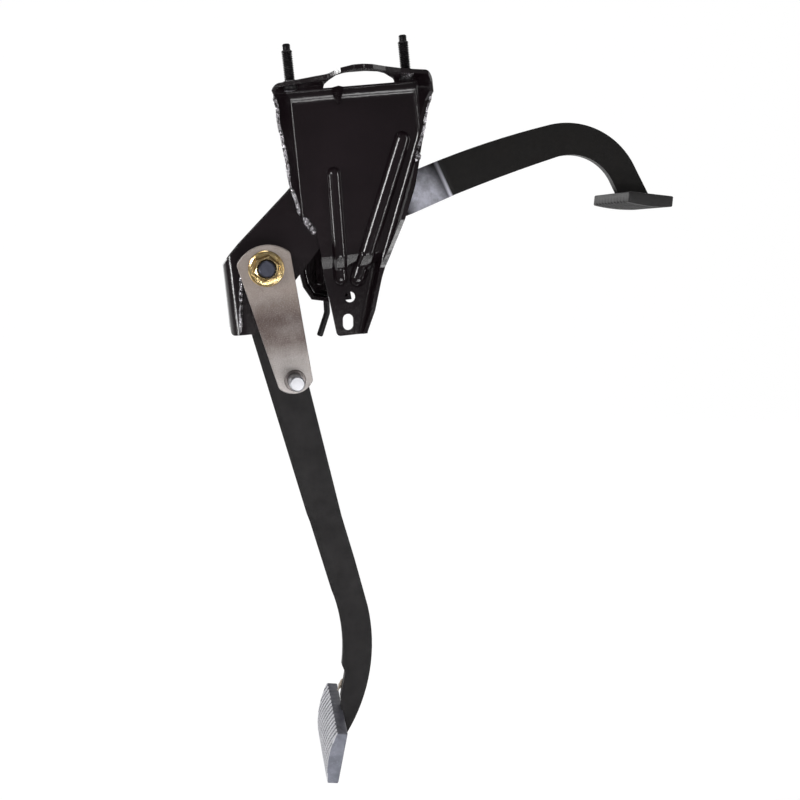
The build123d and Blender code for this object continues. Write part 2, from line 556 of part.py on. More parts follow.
def pad(plane, size, crown, notch, ribbed):
    """Rubber pad slipped over its steel plate: crowned tread, rim and the lip behind the plate."""
    width, height, thickness = size
    body = extrude(plane.offset(crown) * RectangleRounded(width, height, PAD_CORNER), -thickness - crown)
    body = body & crown_volume(plane, size, crown, 0.0)
    inner = plate_size(size)
    top = -(thickness - PAD_LIP - PAD_PLATE) + PAD_FIT
    pocket = plane.offset(top) * RectangleRounded(inner[0] + 2 * PAD_FIT, inner[1] + 2 * PAD_FIT, PAD_PLATE_CORNER)
    body = body - extrude(pocket, -(PAD_PLATE + 2 * PAD_FIT))
    window = plane.offset(top) * RectangleRounded(inner[0] - 24, inner[1] - PAD_WINDOW, 2.0)
    body = body - extrude(window, -thickness) - arm_notch(plane, size, *notch)
    if ribbed:
        count = int((width / 2 - TREAD_MARGIN) / TREAD_PITCH)
        floor = crown_volume(plane, size, crown, TREAD_DEPTH)
        field = extrude(plane.offset(-3) * RectangleRounded(width - 5, height - 5, 1.0), crown + 6)
        grooves = []
        for k in range(-count, count + 1):
            strip = plane.offset(-3) * (Pos(k * TREAD_PITCH, 0) * Rot(Z=TREAD_ANGLE) * Rectangle(TREAD_WIDTH, height * 2))
            grooves.append(extrude(strip, crown + 6))
        for groove in grooves:
            body = body - ((groove & field) - floor)
    return body


def pad_plate(plane, size):
    inner = plate_size(size)
    top = plane.offset(-(size[2] - PAD_LIP - PAD_PLATE))
    return extrude(top * RectangleRounded(inner[0], inner[1], PAD_PLATE_CORNER - PAD_FIT), -PAD_PLATE)


def pad_clearance(plane, size):
    """Room taken from an arm in front of the back of its pad's steel plate."""
    low = -size[1] / 2 - PAD_GAP
    high = size[1] / 2 + PAD_ABOVE
    face = plane.offset(-(size[2] - PAD_LIP)) * (Pos(0, (low + high) / 2) * Rectangle(size[0] + 20, high - low))
    return extrude(face, 60)


def arm_notch(plane, size, start, end):
    """Slot in the rubber's back lip along the arm, between two points on the arm's middle plane."""
    a = plane.to_local_coords(Vector(*start))
    b = plane.to_local_coords(Vector(*end))
    length = hypot(b.X - a.X, b.Y - a.Y)
    turn = degrees(atan2(b.Y - a.Y, b.X - a.X))
    strip = Pos((a.X + b.X) / 2, (a.Y + b.Y) / 2) * Rot(Z=turn) * Rectangle(length, NOTCH_WIDTH)
    return extrude(plane.offset(-(size[2] - PAD_LIP) + PAD_FIT) * strip, -20)


def clutch_arm():
    """Flat bar from the cross shaft, tapering, curved into the pad."""
    foot = PIVOT_Z - CLUTCH_ARM_LENGTH
    lines = Curve() + [
        Line((-98.2, -135.5), (-59.5, foot + 200)),
        Line((-59.5, foot + 200), (-57.6, foot + 193)),
        Line((-57.6, foot + 193), (-45.8, foot + 131)),
        ThreePointArc((-45.8, foot + 131), (-40.4, foot + 91), (-43.7, foot + 62)),
        Line((-43.7, foot + 62), (-41.7, foot + 55)),
        Line((-41.7, foot + 55), (-62, foot - 16)),
        Line((-62, foot - 16), (-55, foot - 11)),
        ThreePointArc((-55, foot - 11), (-20.1, foot + 53), (-15.7, foot + 112)),
        Line((-15.7, foot + 112), (-22.8, foot + 156)),
        Line((-22.8, foot + 156), (-30.0, foot + 195)),
        Line((-30.0, foot + 195), (-59.3, -135.5)),
        Line((-59.3, -135.5), (-98.2, -135.5)),
    ]
    shape = make_face(lines) + Pos(PIVOT_X, PIVOT_Z) * Circle(CLUTCH_HEAD_RADIUS)
    arm = plate(shape, CLUTCH_NEAR, CLUTCH_NEAR + ARM_THICKNESS)
    arm = arm - pad_clearance(CLUTCH_PLANE, CLUTCH_PAD_SIZE)
    arm = max(arm.solids(), key=lambda s: s.volume)
    return arm - along_y(SHAFT_RADIUS + 0.02, PIVOT_X, PIVOT_Z, 50, 200)


def brake_arm():
    """Bar between the cheeks: one sideways joggle, then the bend down to the pad."""
    toe = PIVOT_X + BRAKE_ARM_LENGTH
    lines = Curve() + [
        ThreePointArc((-66, -116.5), (50, -68.4), (toe - 63, -43.6)),
        ThreePointArc((toe - 63, -43.6), (toe - 18, -54.8), (toe + 4, -83.5)),
        Line((toe + 4, -83.5), (toe + 15, -109)),
        Line((toe + 15, -109), (toe - 9.5, -107)),
        Line((toe - 9.5, -107), (toe - 15, -93.5)),
        ThreePointArc((toe - 15, -93.5), (toe - 31, -73.7), (toe - 58, -68.6)),
        ThreePointArc((toe - 58, -68.6), (115, -80.2), (78, -90.4)),
        Line((78, -90.4), (46, -101.6)),
        Line((46, -101.6), (-30, -121.5)),
        Line((-30, -121.5), (-68, -148.8)),
        Line((-68, -148.8), (-66, -116.5)),
    ]
    shape = make_face(lines) + Pos(PIVOT_X, PIVOT_Z) * Circle(BRAKE_HEAD_RADIUS)
    inner, outer, t = BRAKE_INNER_Y, BRAKE_OUTER_Y, ARM_THICKNESS
    start, end = BRAKE_JOG_START - BRAKE_JOG_END, 0.0
    strip = area((-300, inner), (start, inner), (end, outer), (300, outer),
                 (300, outer + t), (end + 2, outer + t), (start + 2, inner + t), (-300, inner + t))
    strip = fillet(strip.vertices().filter_by(lambda v: -40 < v.X < 10), BRAKE_JOG_BEND)
    bar = Pos(BRAKE_JOG_END, 0, BRAKE_JOG_Z) * Rot(Y=-BRAKE_JOG_TILT) * plan_prism(strip, -200, 200)
    arm = plate(shape, 0, 80) & bar
    arm = arm - pad_clearance(BRAKE_PLANE, BRAKE_PAD_SIZE)
    arm = max(arm.solids(), key=lambda s: s.volume)
    arm = arm - along_y(HUB_RADIUS + 0.02, PIVOT_X, PIVOT_Z, 0, 100)
    return arm - along_y(BRAKE_PIN_STEM + 0.1, BRAKE_PIN_X, BRAKE_PIN_Z, 0, 100)


def brake_hub():
    return tube_along_y(HUB_RADIUS, HUB_RADIUS - BOSS_WALL, PIVOT_X, PIVOT_Z, HUB_START, HUB_END)


def brake_rod_pin():
    """Pin for the brake booster's rod, riveted in the arm, pointing to the far cheek."""
    seat = BRAKE_INNER_Y + ARM_THICKNESS
    pin = along_y(BRAKE_PIN_RADIUS, BRAKE_PIN_X, BRAKE_PIN_Z, seat, seat + BRAKE_PIN_LENGTH)
    pin = chamfer(pin.edges().sort_by(Axis.Y)[-1], 1.0)
    groove = tube_along_y(BRAKE_PIN_RADIUS + 2, BRAKE_PIN_RADIUS - PIN_GROOVE_DEPTH, BRAKE_PIN_X, BRAKE_PIN_Z,
                          seat + BRAKE_PIN_LENGTH - 5, seat + BRAKE_PIN_LENGTH - 5 + PIN_GROOVE_WIDTH)
    stem = along_y(BRAKE_PIN_STEM, BRAKE_PIN_X, BRAKE_PIN_Z, BRAKE_INNER_Y - 1, seat)
    return pin + stem - groove


def brake_stop_bracket():
    """Angle welded behind the front shell, under the brake arm."""
    foot = box(STOP_X - 14, STOP_X + 14, SHEET + CHEEK_SHEET, SHEET + CHEEK_SHEET + 2.5, STOP_SHELF - 2.5, STOP_SHELF + 14)
    shelf = box(STOP_X - 14, STOP_X + 14, SHEET + CHEEK_SHEET, BRAKE_INNER_Y + ARM_THICKNESS + 4,
                STOP_SHELF - 2.5, STOP_SHELF)
    angle = foot + shelf
    hole = Pos(STOP_X, BRAKE_INNER_Y + ARM_THICKNESS / 2, STOP_SHELF) * Cylinder(STOP_STEM_RADIUS + 0.1, 20)
    return angle - hole


def brake_stop_bumper():
    y = BRAKE_INNER_Y + ARM_THICKNESS / 2
    head = Pos(STOP_X, y, STOP_SHELF + BRAKE_STOP_HEIGHT / 2) * Cylinder(STOP_RADIUS, BRAKE_STOP_HEIGHT)
    head = fillet(head.edges().sort_by(Axis.Z)[-1], 2.5)
    stem = Pos(STOP_X, y, STOP_SHELF - 2.25) * Cylinder(STOP_STEM_RADIUS, 4.5)
    return head + stem


# Positions worked out from the sizes
BOSS_BACK = BACK_DEPTH + 5.0
LEVER_BACK = BOSS_FRONT - BUSH_FLANGE - WASHER_THICKNESS - 2 * RUNNING_GAP
LEVER_FRONT = LEVER_BACK - LEVER_THICKNESS
CLUTCH_NEAR = BOSS_BACK + BUSH_FLANGE + WASHER_THICKNESS + 2 * RUNNING_GAP
SEAT_FLAT = SEAT_RADIUS - 1.5
NUT_TURN = 12.0
PIN_X = PIVOT_X + LEVER_REACH * sin(radians(LEVER_ANGLE))
PIN_Z = PIVOT_Z - LEVER_REACH * cos(radians(LEVER_ANGLE))
PIN_STEM_RADIUS = 4.0
BRAKE_PIN_STEM = 4.5
HUB_START = BOSS_REACH + BUSH_FLANGE + RUNNING_GAP
HUB_END = BACK_DEPTH - 7.0 - BUSH_FLANGE - RUNNING_GAP
CLUTCH_FOOT = PIVOT_Z - CLUTCH_ARM_LENGTH
CLUTCH_NOTCH = ((-53.0, CLUTCH_NEAR + ARM_THICKNESS / 2, CLUTCH_FOOT - 14),
                (-44.0, CLUTCH_NEAR + ARM_THICKNESS / 2, CLUTCH_FOOT + 46))
BRAKE_TOE = PIVOT_X + BRAKE_ARM_LENGTH
BRAKE_NOTCH = ((BRAKE_TOE + 15.4, BRAKE_OUTER_Y + ARM_THICKNESS / 2, -109.0),
               (BRAKE_TOE - 12.4, BRAKE_OUTER_Y + ARM_THICKNESS / 2, -103.0))
STOP_TAB_LOW = -178.0
STOP_TAB_HIGH = -160.0
STOP_Z = -169.0
STOP_RADIUS = 6.5
STOP_STEM_RADIUS = 3.0
STOP_HEIGHT = 9.5
STOP_X = -4.0
STOP_SHELF = -127.0
BRAKE_STOP_HEIGHT = 11.0
REAR_LEFT = -44.6
REAR_RIGHT = 54.0
REAR_FOOT = -4.5
REAR_BOTTOM = -165.5
REAR_BEND = 8.0
REAR_CORNER = 8.5
TOP_STRIP = 13.5
REAR_SIDE_DEPTH = 34.0
BOOSTER_Y = 50.0
BOOSTER_OPENING = 27.0
BOOSTER_X = 5.0
BOOSTER_BOLT_X = 33.0
BOOSTER_BOLT_Y = 30.0
BOOSTER_HOLE = 4.6
HOOK_X = -24.5
HOOK_Y = BACK_DEPTH - 7.0
HOOK_RADIUS = 2.6
HOOK_BEND = 9.0
TREAD_ANGLE = 35.0
TREAD_WIDTH = 1.8


def build_all():
    return {
        "front_shell": front_shell(),
        "rear_shell": rear_shell(),
        "front_pivot_cheek": front_pivot_cheek(),
        "rear_pivot_cheek": rear_pivot_cheek(),
        "mounting_studs": mounting_studs(),
        "front_bearing_boss": boss(BOSS_FRONT, BOSS_REACH),
        "rear_bearing_boss": boss(BACK_DEPTH - 7.0, BOSS_BACK),
        "front_bushing": bushing(BOSS_FRONT, BOSS_REACH),
        "rear_bushing": bushing(BOSS_BACK, BACK_DEPTH - 7.0),
        "spring_hook": spring_hook(),
        "brake_stop_bracket": brake_stop_bracket(),
        "brake_stop_bumper": brake_stop_bumper(),
        "clutch_stop_bumper": clutch_stop_bumper(),
        "cross_shaft": cross_shaft(),
        "clutch_arm": clutch_arm(),
        "clutch_lever": clutch_lever(),
        "lever_pin": lever_pin(),
        "flange_nut": flange_nut(),
        "front_thrust_washer": washer(LEVER_BACK, LEVER_BACK + WASHER_THICKNESS),
        "rear_thrust_washer": washer(CLUTCH_NEAR - WASHER_THICKNESS, CLUTCH_NEAR),
        "clutch_pad_plate": pad_plate(CLUTCH_PLANE, CLUTCH_PAD_SIZE),
        "clutch_pad": pad(CLUTCH_PLANE, CLUTCH_PAD_SIZE, CLUTCH_PAD_CROWN, CLUTCH_NOTCH, True),
        "brake_arm": brake_arm(),
        "brake_hub": brake_hub(),
        "brake_bushings": [bushing(HUB_START, HUB_START + 18), bushing(HUB_END, HUB_END - 18)],
        "brake_rod_pin": brake_rod_pin(),
        "brake_pad_plate": pad_plate(BRAKE_PLANE, BRAKE_PAD_SIZE),
        "brake_pad": pad(BRAKE_PLANE, BRAKE_PAD_SIZE, BRAKE_PAD_CROWN, BRAKE_NOTCH, False),
    }


def main():
    os.makedirs("parts", exist_ok=True)
    for name, piece in build_all().items():
        pieces = piece if isinstance(piece, list) else [piece]
        moved = [Pos(0, -STUD_Y, 0) * p for p in pieces]
        solid = Compound(children=moved) if len(moved) > 1 else moved[0]
        export_step(solid, f"parts/{name}.step")
        print(name, len(solid.solids()), round(solid.volume))


if __name__ == "__main__":
    main()
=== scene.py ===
"""Clutch and brake pedal assembly: looks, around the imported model. Lengths are in metres."""
import math
import random

import bmesh
import bpy
from mathutils import Matrix, Vector


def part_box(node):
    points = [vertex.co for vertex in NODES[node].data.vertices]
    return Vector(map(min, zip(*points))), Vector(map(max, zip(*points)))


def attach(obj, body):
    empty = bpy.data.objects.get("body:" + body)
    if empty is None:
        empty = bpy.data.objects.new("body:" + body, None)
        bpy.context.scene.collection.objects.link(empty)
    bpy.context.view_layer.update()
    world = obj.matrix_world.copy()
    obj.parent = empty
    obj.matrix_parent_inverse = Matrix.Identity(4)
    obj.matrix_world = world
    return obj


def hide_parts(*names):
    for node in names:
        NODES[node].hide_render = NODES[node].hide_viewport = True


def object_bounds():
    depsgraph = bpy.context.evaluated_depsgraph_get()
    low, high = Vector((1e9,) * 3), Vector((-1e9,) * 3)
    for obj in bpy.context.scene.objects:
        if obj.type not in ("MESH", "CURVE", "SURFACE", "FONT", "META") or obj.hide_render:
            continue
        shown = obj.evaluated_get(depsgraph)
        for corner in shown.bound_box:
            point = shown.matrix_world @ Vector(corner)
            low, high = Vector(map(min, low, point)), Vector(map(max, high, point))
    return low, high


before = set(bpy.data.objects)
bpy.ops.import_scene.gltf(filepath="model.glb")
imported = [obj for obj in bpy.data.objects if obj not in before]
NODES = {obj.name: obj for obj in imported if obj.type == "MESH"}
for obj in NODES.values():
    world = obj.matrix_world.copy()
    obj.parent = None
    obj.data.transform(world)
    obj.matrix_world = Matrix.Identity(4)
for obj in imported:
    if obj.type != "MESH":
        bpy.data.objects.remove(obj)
CAD_BOX = [list(corner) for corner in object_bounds()]

# Camera solved from the photograph: focal length and the pivot axis's vanishing point in pixels of its frame
IMAGE_SIZE = 800
FOCAL_PX = 1200.0
PIVOT_AXIS_PX = (215.0, 252.0)
ROLL = math.radians(6.8)
CAMERA_AT = Vector((-0.1108, -0.89469, -0.1160))
SENSOR_MM = 36.0
VIEW_END = 20

# Places and sizes of the solid model
PIVOT = (-0.0754, 0.0, -0.1319)
LEVER_FACE_Y = -0.0067
SHEET = 0.003
ARM_THICKNESS = 0.008
BRAKE_INNER_Y = 0.054
BRAKE_OUTER_Y = 0.034
SHAFT_BEAD_RING = 0.0083
HUB_BEAD_RING = 0.0143
CLUTCH_PAD = {"centre": (-0.0628, 0.126, -0.5462), "size": (0.075, 0.0525, 0.0097), "crown": 0.0032,
              "normal": (-1, 0, 0), "up": (0, 0, 1), "lean": 13.2, "turn": 14.0, "tilt": 3.3}
BRAKE_PAD = {"centre": (0.2214, 0.038, -0.1126), "size": (0.072, 0.037, 0.0081), "crown": 0.0012,
             "normal": (0, 0, -1), "up": (-1, 0, 0), "lean": 11.0, "turn": 4.2, "tilt": 0.4}

# Smallest step between two rings of a turned or moulded piece
FINE = 0.0001

# Flange nut, M12
NUT_HEIGHT = 0.011
NUT_ACROSS = 0.018
NUT_FLANGE_RADIUS = 0.0132
NUT_FLANGE_HEIGHT = 0.0024
NUT_FLANGE_EDGE = 0.0005
NUT_FLANGE_LAND = 0.0009
NUT_FLANGE_SLOPE = 0.0017
NUT_TURN = math.radians(12.0)
NUT_TAPER = 0.0011
NUT_CROWN = 0.0016
NUT_CROWN_SLOPE = 1.3
NUT_CROWN_HEIGHT = 0.0018
NUT_CROWN_RINGS = 9
NUT_CROWN_STEP = 0.0002
NUT_COUNTERSINK = 0.0012
NUT_BORE_DEPTH = 0.004
# A face of the nut counts as one of its sides, which get a darker material as painted shade, from this radius
# and this height above the flange
NUT_SIDE_RADIUS = 0.0075
NUT_SIDE_ABOVE = 0.0004
NUT_SIDE_LEVEL = 0.35

# Threads, the same pitch on the M8 studs and on the M12 shaft end
THREAD_PITCH = 0.00125
THREAD_DEPTH = 0.0007
THREAD_RINGS = 8
THREAD_FLANK = 1.25
THREAD_RADIUS = 0.006
THREAD_PROUD = 0.0015

# Cross shaft
SHAFT_RADIUS = 0.008
SHAFT_NECK_RADIUS = 0.0068
SHAFT_NECK_LENGTH = 0.006
SHAFT_NECK_CHAMFER = 0.0003
SHAFT_CHAMFER = 0.0006
SHAFT_TIP_CHAMFER = 0.001
SHAFT_CENTRE_HOLE = 0.0011
SHAFT_THREAD_END = -0.0005
SHAFT_THREAD_RELIEF = -0.0002

# Mounting studs with dog points and pressed heads
STUD_X = 0.0428
STUD_RADIUS = 0.004
STUD_LENGTH = 0.0272
STUD_DOG_RADIUS = 0.0029
STUD_DOG_LENGTH = 0.0045
STUD_DOG_CHAMFER = 0.0007
STUD_TIP_LENGTH = 0.0008
STUD_TIP_DEPTH = 0.0009
STUD_THREAD_START = 0.001
STUD_SEAT_RADIUS = 0.0045
STUD_SEAT_CHAMFER = 0.0004
STUD_HEAD_RADIUS = 0.0052
STUD_HEAD_DEPTH = 0.0054
STUD_HEAD_CHAMFER = 0.0008

# Moulded pads; the window is the hole in the lip behind the plate, measured in from the plate's pocket
PAD_CORNER = 0.0015
PAD_EDGE = 0.0007
PAD_LIP = 0.0015
PAD_PLATE = 0.003
PAD_RIM = 0.003
PAD_WINDOW = (0.012, 0.0025)
PAD_BORDER = 0.0009
PAD_BACK_ROUND = 0.0009
# How far below the crowned tread a face counts as a groove's, or as the pad's side
GROOVE_BELOW = 0.0007
SIDE_BELOW = 0.0005
TREAD_REACH = 0.002
TOP_SIDE = 0.001
TREAD_SLOT, SIDE_SLOT, TOP_SLOT, GROOVE_SLOT, RIM_SLOT = range(5)
CLUTCH_TREAD = {"pitch": 0.0052, "depth": 0.0017, "slant": math.radians(24.0),
                "sides": 0.0016, "foot": 0.0042}
CLUTCH_TREAD_STEP = 0.00045
BRAKE_TREAD = {"pitch": 0.006, "depth": 0.0008, "slant": 0.0, "sides": 0.004, "foot": 0.0035}
BRAKE_TREAD_STEP = 0.0006
GROOVE_EDGE = 0.0005
GROOVE_SHARE = 0.46
GROOVE_WALL = 0.2
FOOT_GROOVE_DROP = 0.0011
FOOT_GROOVE_HALF = 0.0008
FOOT_GROOVE_WALL = 0.0004
FOOT_GROOVE_END = 0.001

# Rest bumpers: length of the rubber head, by the axis that the stem lies on
BUMPER_HEADS = {"x": 0.0095, "z": 0.011}
BUMPER_RADIUS = 0.0065
BUMPER_STEM_RADIUS = 0.003
BUMPER_STEM_CHAMFER = (0.0004, 0.0006)
BUMPER_EDGE = 0.0006
BUMPER_ROLL = 0.0006
BUMPER_ROLLS_END = 0.72
BUMPER_NOSE_SWEEP = 0.93
BUMPER_NOSE_FLAT = 0.0012
BUMPER_RINGS = 24

# Weld lines seen in the photograph, as pixels of it
LEFT_RIM_PX = ((273, 95), (276, 108), (279, 122), (282, 140), (286, 160), (291, 184), (296, 205), (300, 221))
RIGHT_RIM_PX = ((433, 84), (433, 100), (429, 114), (424, 128), (420, 142), (418, 150))
RIGHT_BUMP_PX = ((417, 151), (418, 157), (416, 162))
TAB_BLOB_PX = ((303, 217), (307, 223), (312, 229), (316, 235))
LEFT_STUD_PX = ((284, 91), (289, 90), (295, 90))
RIGHT_STUD_PX = ((403, 76), (408, 75), (413, 73))
# Along the rolled web the bead, with its bright spots, stands in for a painted highlight band
WEB_BAND_PX = ((241, 275), (241, 288), (241, 302), (241, 318), (241, 333))
PAD_WELD_PX = ((341, 679), (340, 685), (341, 691))

# Weld beads on the bracket: seed, line, radius and the node that carries the bead
BRACKET_BEADS = (
    (3, LEFT_RIM_PX, 0.0015, "front_shell"),
    (5, TAB_BLOB_PX, 0.0026, "front_shell"),
    (7, WEB_BAND_PX, 0.0014, "front_pivot_cheek"),
    (9, RIGHT_RIM_PX, 0.0011, "front_shell"),
    (13, RIGHT_BUMP_PX, 0.0024, "front_shell"),
    (15, LEFT_STUD_PX, 0.0013, "front_shell"),
    (17, RIGHT_STUD_PX, 0.0015, "front_shell"),
)
BEAD_RIPPLE = 0.0015
BEAD_LIFT = 0.3
BEAD_SEGMENTS = 10
BEAD_RINGS_PER_RIPPLE = 4
BEAD_LEAST_RINGS = 6
BEAD_END_RINGS = 10
BEAD_END_SHARE = 0.06
BEAD_FLATNESS = 0.8
BEAD_NECK = 0.78
BEAD_SWELL = 0.3
BEAD_UNEVEN = 0.07
BEAD_WANDER = 0.12
STUD_BEAD = {"ring": 0.0046, "height": 0.0002, "radius": 0.0007, "corners": 12, "seed": 11}
FOOT_BEAD = {"radius": 0.0022, "ripple": 0.0022, "lift": 0.1, "corners": 9}
PLATE_BEAD = {"radius": 0.0046, "ripple": 0.006, "lift": 0.6, "depth": 0.126, "seed": 23}
PIVOT_BEAD_STEPS = 36
WELD_SMOOTH = 60

# Painted highlight on the brake arm, a pale sheen patch on the jog's near face and a pale line along the bend
# where the jog ends: reach is measured from that line, along the arm to the hub
JOG_END = (0.0662, -0.065)
JOG_DIRECTION = (-0.942, -0.338)
JOG_FACE_Y = (0.054, 0.056)
RUB_STARTS = (0.001, 0.009)
RUB_ENDS = (0.026, 0.034)
RUB_SLOPE = -0.35
RUB_HEIGHT = (-0.066, -0.09)
BAND_STARTS = (-0.0012, 0.0002)
BAND_ENDS = (0.0008, 0.003)
BAND_HEIGHT = (-0.06, -0.09)

# Colours down the clutch lever, from above the pivot to the foot, as 8-bit sRGB: darker in the middle, and
# paler towards the foot, where the paler foot is painted light from below
LEVER_TOP = 0.014
LEVER_FOOT = -0.096
LEVER_TINTS = ((0.0, (146, 136, 130)), (0.3, (138, 126, 119)), (0.47, (80, 66, 62)),
               (0.62, (90, 77, 72)), (0.74, (150, 144, 141)), (1.0, (176, 170, 168)))
# Span of the pin's collar that is painted darker, as the pin's shadow ring
COLLAR_Y = (-0.0092, -0.0084)

# Span that a noise texture keeps to for most of a surface
NOISE_SPAN = (0.3, 0.7)

# Floor and backdrop, one swept sheet behind and below the object
FLOOR_DROP = 0.03
FLOOR_FRONT = 0.0
BACKDROP_Y = 2.6
BACKDROP_TOP = 5.0
STAGE_HALF_WIDTH = 6.0
STAGE_BEND = 0.9
STAGE_BEND_STEPS = 8
STAGE_GREY = (0.86, 0.86, 0.86)
STAGE_GLOW = 1.045
STAGE_GLOW_SHARE = 0.94

# The world is white to the camera and dim to all other rays
WORLD_LEVEL = 0.15
WORLD_WHITE = 1.0

# Area lamps: name, place, target, width and height, power in watts
MIDDLE = (0.03, 0.04, -0.2)
LAMPS = (
    ("left_strip", (-1.4, -0.5, -0.34), MIDDLE, (0.12, 0.8), 8),
    ("key", (-1.0, -1.2, 0.5), MIDDLE, (0.36, 0.36), 9),
    ("right_strip", (1.35, -0.75, -0.05), MIDDLE, (0.1, 1.2), 7),
    ("low", (0.15, -1.4, -0.5), MIDDLE, (0.9, 0.09), 4),
    ("floor_glow", (0.12, -0.82, -0.59), (0.0, 0.02, 0.0), (0.8, 0.12), 3.2),
    ("under", (0.05, -0.03, -0.605), (0.05, -0.03, 0.0), (0.2, 0.01), 0.06),
    ("top", (0.1, 0.3, 1.5), MIDDLE, (1.0, 0.5), 5),
    ("back_left", (-1.1, 1.5, 0.5), MIDDLE, (0.5, 0.5), 13),
    ("back_right", (1.3, 1.2, 0.1), MIDDLE, (0.3, 0.8), 9),
)


def add_camera():
    half = IMAGE_SIZE / 2
    y_cam = Vector((PIVOT_AXIS_PX[0] - half, half - PIVOT_AXIS_PX[1], -FOCAL_PX)).normalized()
    up = Vector((-math.sin(ROLL), math.cos(ROLL), 0))
    z_cam = (up - up.dot(y_cam) * y_cam).normalized()
    x_cam = y_cam.cross(z_cam)
    turn = Matrix((x_cam, y_cam, z_cam))
    data = bpy.data.cameras.new("camera")
    data.sensor_width = SENSOR_MM
    data.lens = SENSOR_MM * FOCAL_PX / IMAGE_SIZE
    data.clip_end = VIEW_END
    camera = bpy.data.objects.new("camera", data)
    camera.matrix_world = Matrix.Translation(CAMERA_AT) @ turn.to_4x4()
    bpy.context.scene.collection.objects.link(camera)
    bpy.context.scene.camera = camera


class Graph:
    """A material's node tree, with short calls for the nodes used here."""

    def __init__(self, material):
        self.material = material
        self.tree = material.node_tree
        self.shader = self.tree.nodes["Principled BSDF"]
        self.output = self.tree.nodes["Material Output"]

    @classmethod
    def new(cls, name):
        material = bpy.data.materials.new(name)
        material.use_nodes = True
        return cls(material)

    def feed(self, socket, value):
        """Links a node's output into a socket, or sets the socket's own value."""
        if hasattr(value, "is_output"):
            self.tree.links.new(value, socket)
        elif isinstance(value, tuple) and socket.type == "RGBA":
            socket.default_value = (*value, 1)
        else:
            socket.default_value = value

    def node(self, kind, **inputs):
        node = self.tree.nodes.new(kind)
        for key, value in inputs.items():
            self.feed(node.inputs[key.replace("_", " ")], value)
        return node

    def position(self):
        return self.node("ShaderNodeTexCoord").outputs["Object"]

    def axes(self):
        split = self.node("ShaderNodeSeparateXYZ", Vector=self.position())
        return (split.outputs[axis] for axis in "XYZ")

    def noise(self, scale, detail=3.0, rough=0.55, stretch=None):
        """Noise in object space, with scale in spots per metre."""
        vector = self.position()
        if stretch:
            mapping = self.node("ShaderNodeMapping", Vector=vector)
            mapping.inputs["Scale"].default_value = stretch
            vector = mapping.outputs[0]
        node = self.node("ShaderNodeTexNoise", Vector=vector, Scale=scale, Detail=detail, Roughness=rough)
        return node.outputs["Fac"]

    def ramp(self, fac, *stops):
        node = self.node("ShaderNodeValToRGB", Fac=fac)
        elements = node.color_ramp.elements
        while len(elements) < len(stops):
            elements.new(0.5)
        for element, (place, color) in zip(elements, stops):
            element.position = place
            element.color = (*color, 1)
        return node.outputs["Color"]

    def range(self, fac, low, high, start=0.0, end=1.0):
        """Value that goes from low to high while fac goes from start to end."""
        node = self.node("ShaderNodeMapRange", Value=fac)
        node.inputs["From Min"].default_value = start
        node.inputs["From Max"].default_value = end
        node.inputs["To Min"].default_value = low
        node.inputs["To Max"].default_value = high
        return node.outputs[0]

    def vary(self, noise, low, high):
        """Value that goes from low to high over a noise's usual span."""
        return self.range(noise, low, high, *NOISE_SPAN)

    def mix(self, fac, a, b):
        node = self.tree.nodes.new("ShaderNodeMix")
        node.data_type = "RGBA"
        for index, value in ((0, fac), (6, a), (7, b)):
            self.feed(node.inputs[index], value)
        return node.outputs[2]

    def math(self, operation, a, b=0.0):
        node = self.tree.nodes.new("ShaderNodeMath")
        node.operation = operation
        self.feed(node.inputs[0], a)
        self.feed(node.inputs[1], b)
        return node.outputs[0]

    def times(self, *factors):
        product = factors[0]
        for factor in factors[1:]:
            product = self.math("MULTIPLY", product, factor)
        return product

    def bump(self, height, strength, distance):
        node = self.node("ShaderNodeBump", Height=height, Strength=strength, Distance=distance)
        return node.outputs["Normal"]

    def set(self, **inputs):
        for key, value in inputs.items():
            self.feed(self.shader.inputs[key.replace("_", " ")], value)
        return self.material


def srgb(r, g, b):
    """Linear colour of 8-bit sRGB values."""
    def linear(c):
        c = c / 255
        return c / 12.92 if c <= 0.04045 else ((c + 0.055) / 1.055) ** 2.4
    return linear(r), linear(g), linear(b)


def gloss_black():
    """Thick gloss enamel with a little orange peel and dust in it."""
    g = Graph.new("gloss_black")
    tone = g.noise(18, 4)
    color = g.ramp(tone, (0.3, srgb(17, 11, 14)), (0.7, srgb(24, 16, 20)))
    peel = g.noise(240, 2)
    dust = g.noise(1100, 3)
    height = g.math("ADD", g.times(peel, 0.85), g.times(dust, 0.15))
    g.set(Base_Color=color, Roughness=g.vary(tone, 0.12, 0.2), Normal=g.bump(height, 0.3, 0.0005))
    return g.set(Specular_IOR_Level=0.42, Coat_Weight=0.1, Coat_Roughness=0.05)


def satin_black(name, low, high, smooth=0.42, rough=0.56):
    g = Graph.new(name)
    tone = g.noise(60, 5, 0.65)
    color = g.ramp(tone, (0.3, low), (0.72, high))
    grain = g.noise(1400, 3, 0.6)
    g.set(Base_Color=color, Roughness=g.vary(tone, rough, smooth), Normal=g.bump(grain, 0.35, 0.0003))
    return g.set(Specular_IOR_Level=0.2)


def weld_black():
    """The same enamel over weld beads, with random bright metallic spots, partly bare steel and partly
    painted glints.
    """
    g = Graph.new("weld_black")
    lumps = g.noise(650, 3, 0.6)
    # Bright metallic spots, partly bare steel and partly painted glints on the beads
    bare = g.range(g.noise(420, 4, 0.7), 0.0, 1.0, 0.46, 0.6)
    g.set(Base_Color=g.mix(bare, srgb(20, 14, 17), srgb(214, 210, 216)), Metallic=g.times(bare, 0.8),
          Roughness=g.vary(lumps, 0.12, 0.3), Normal=g.bump(lumps, 0.5, 0.0006))
    return g.set(Specular_IOR_Level=0.6)


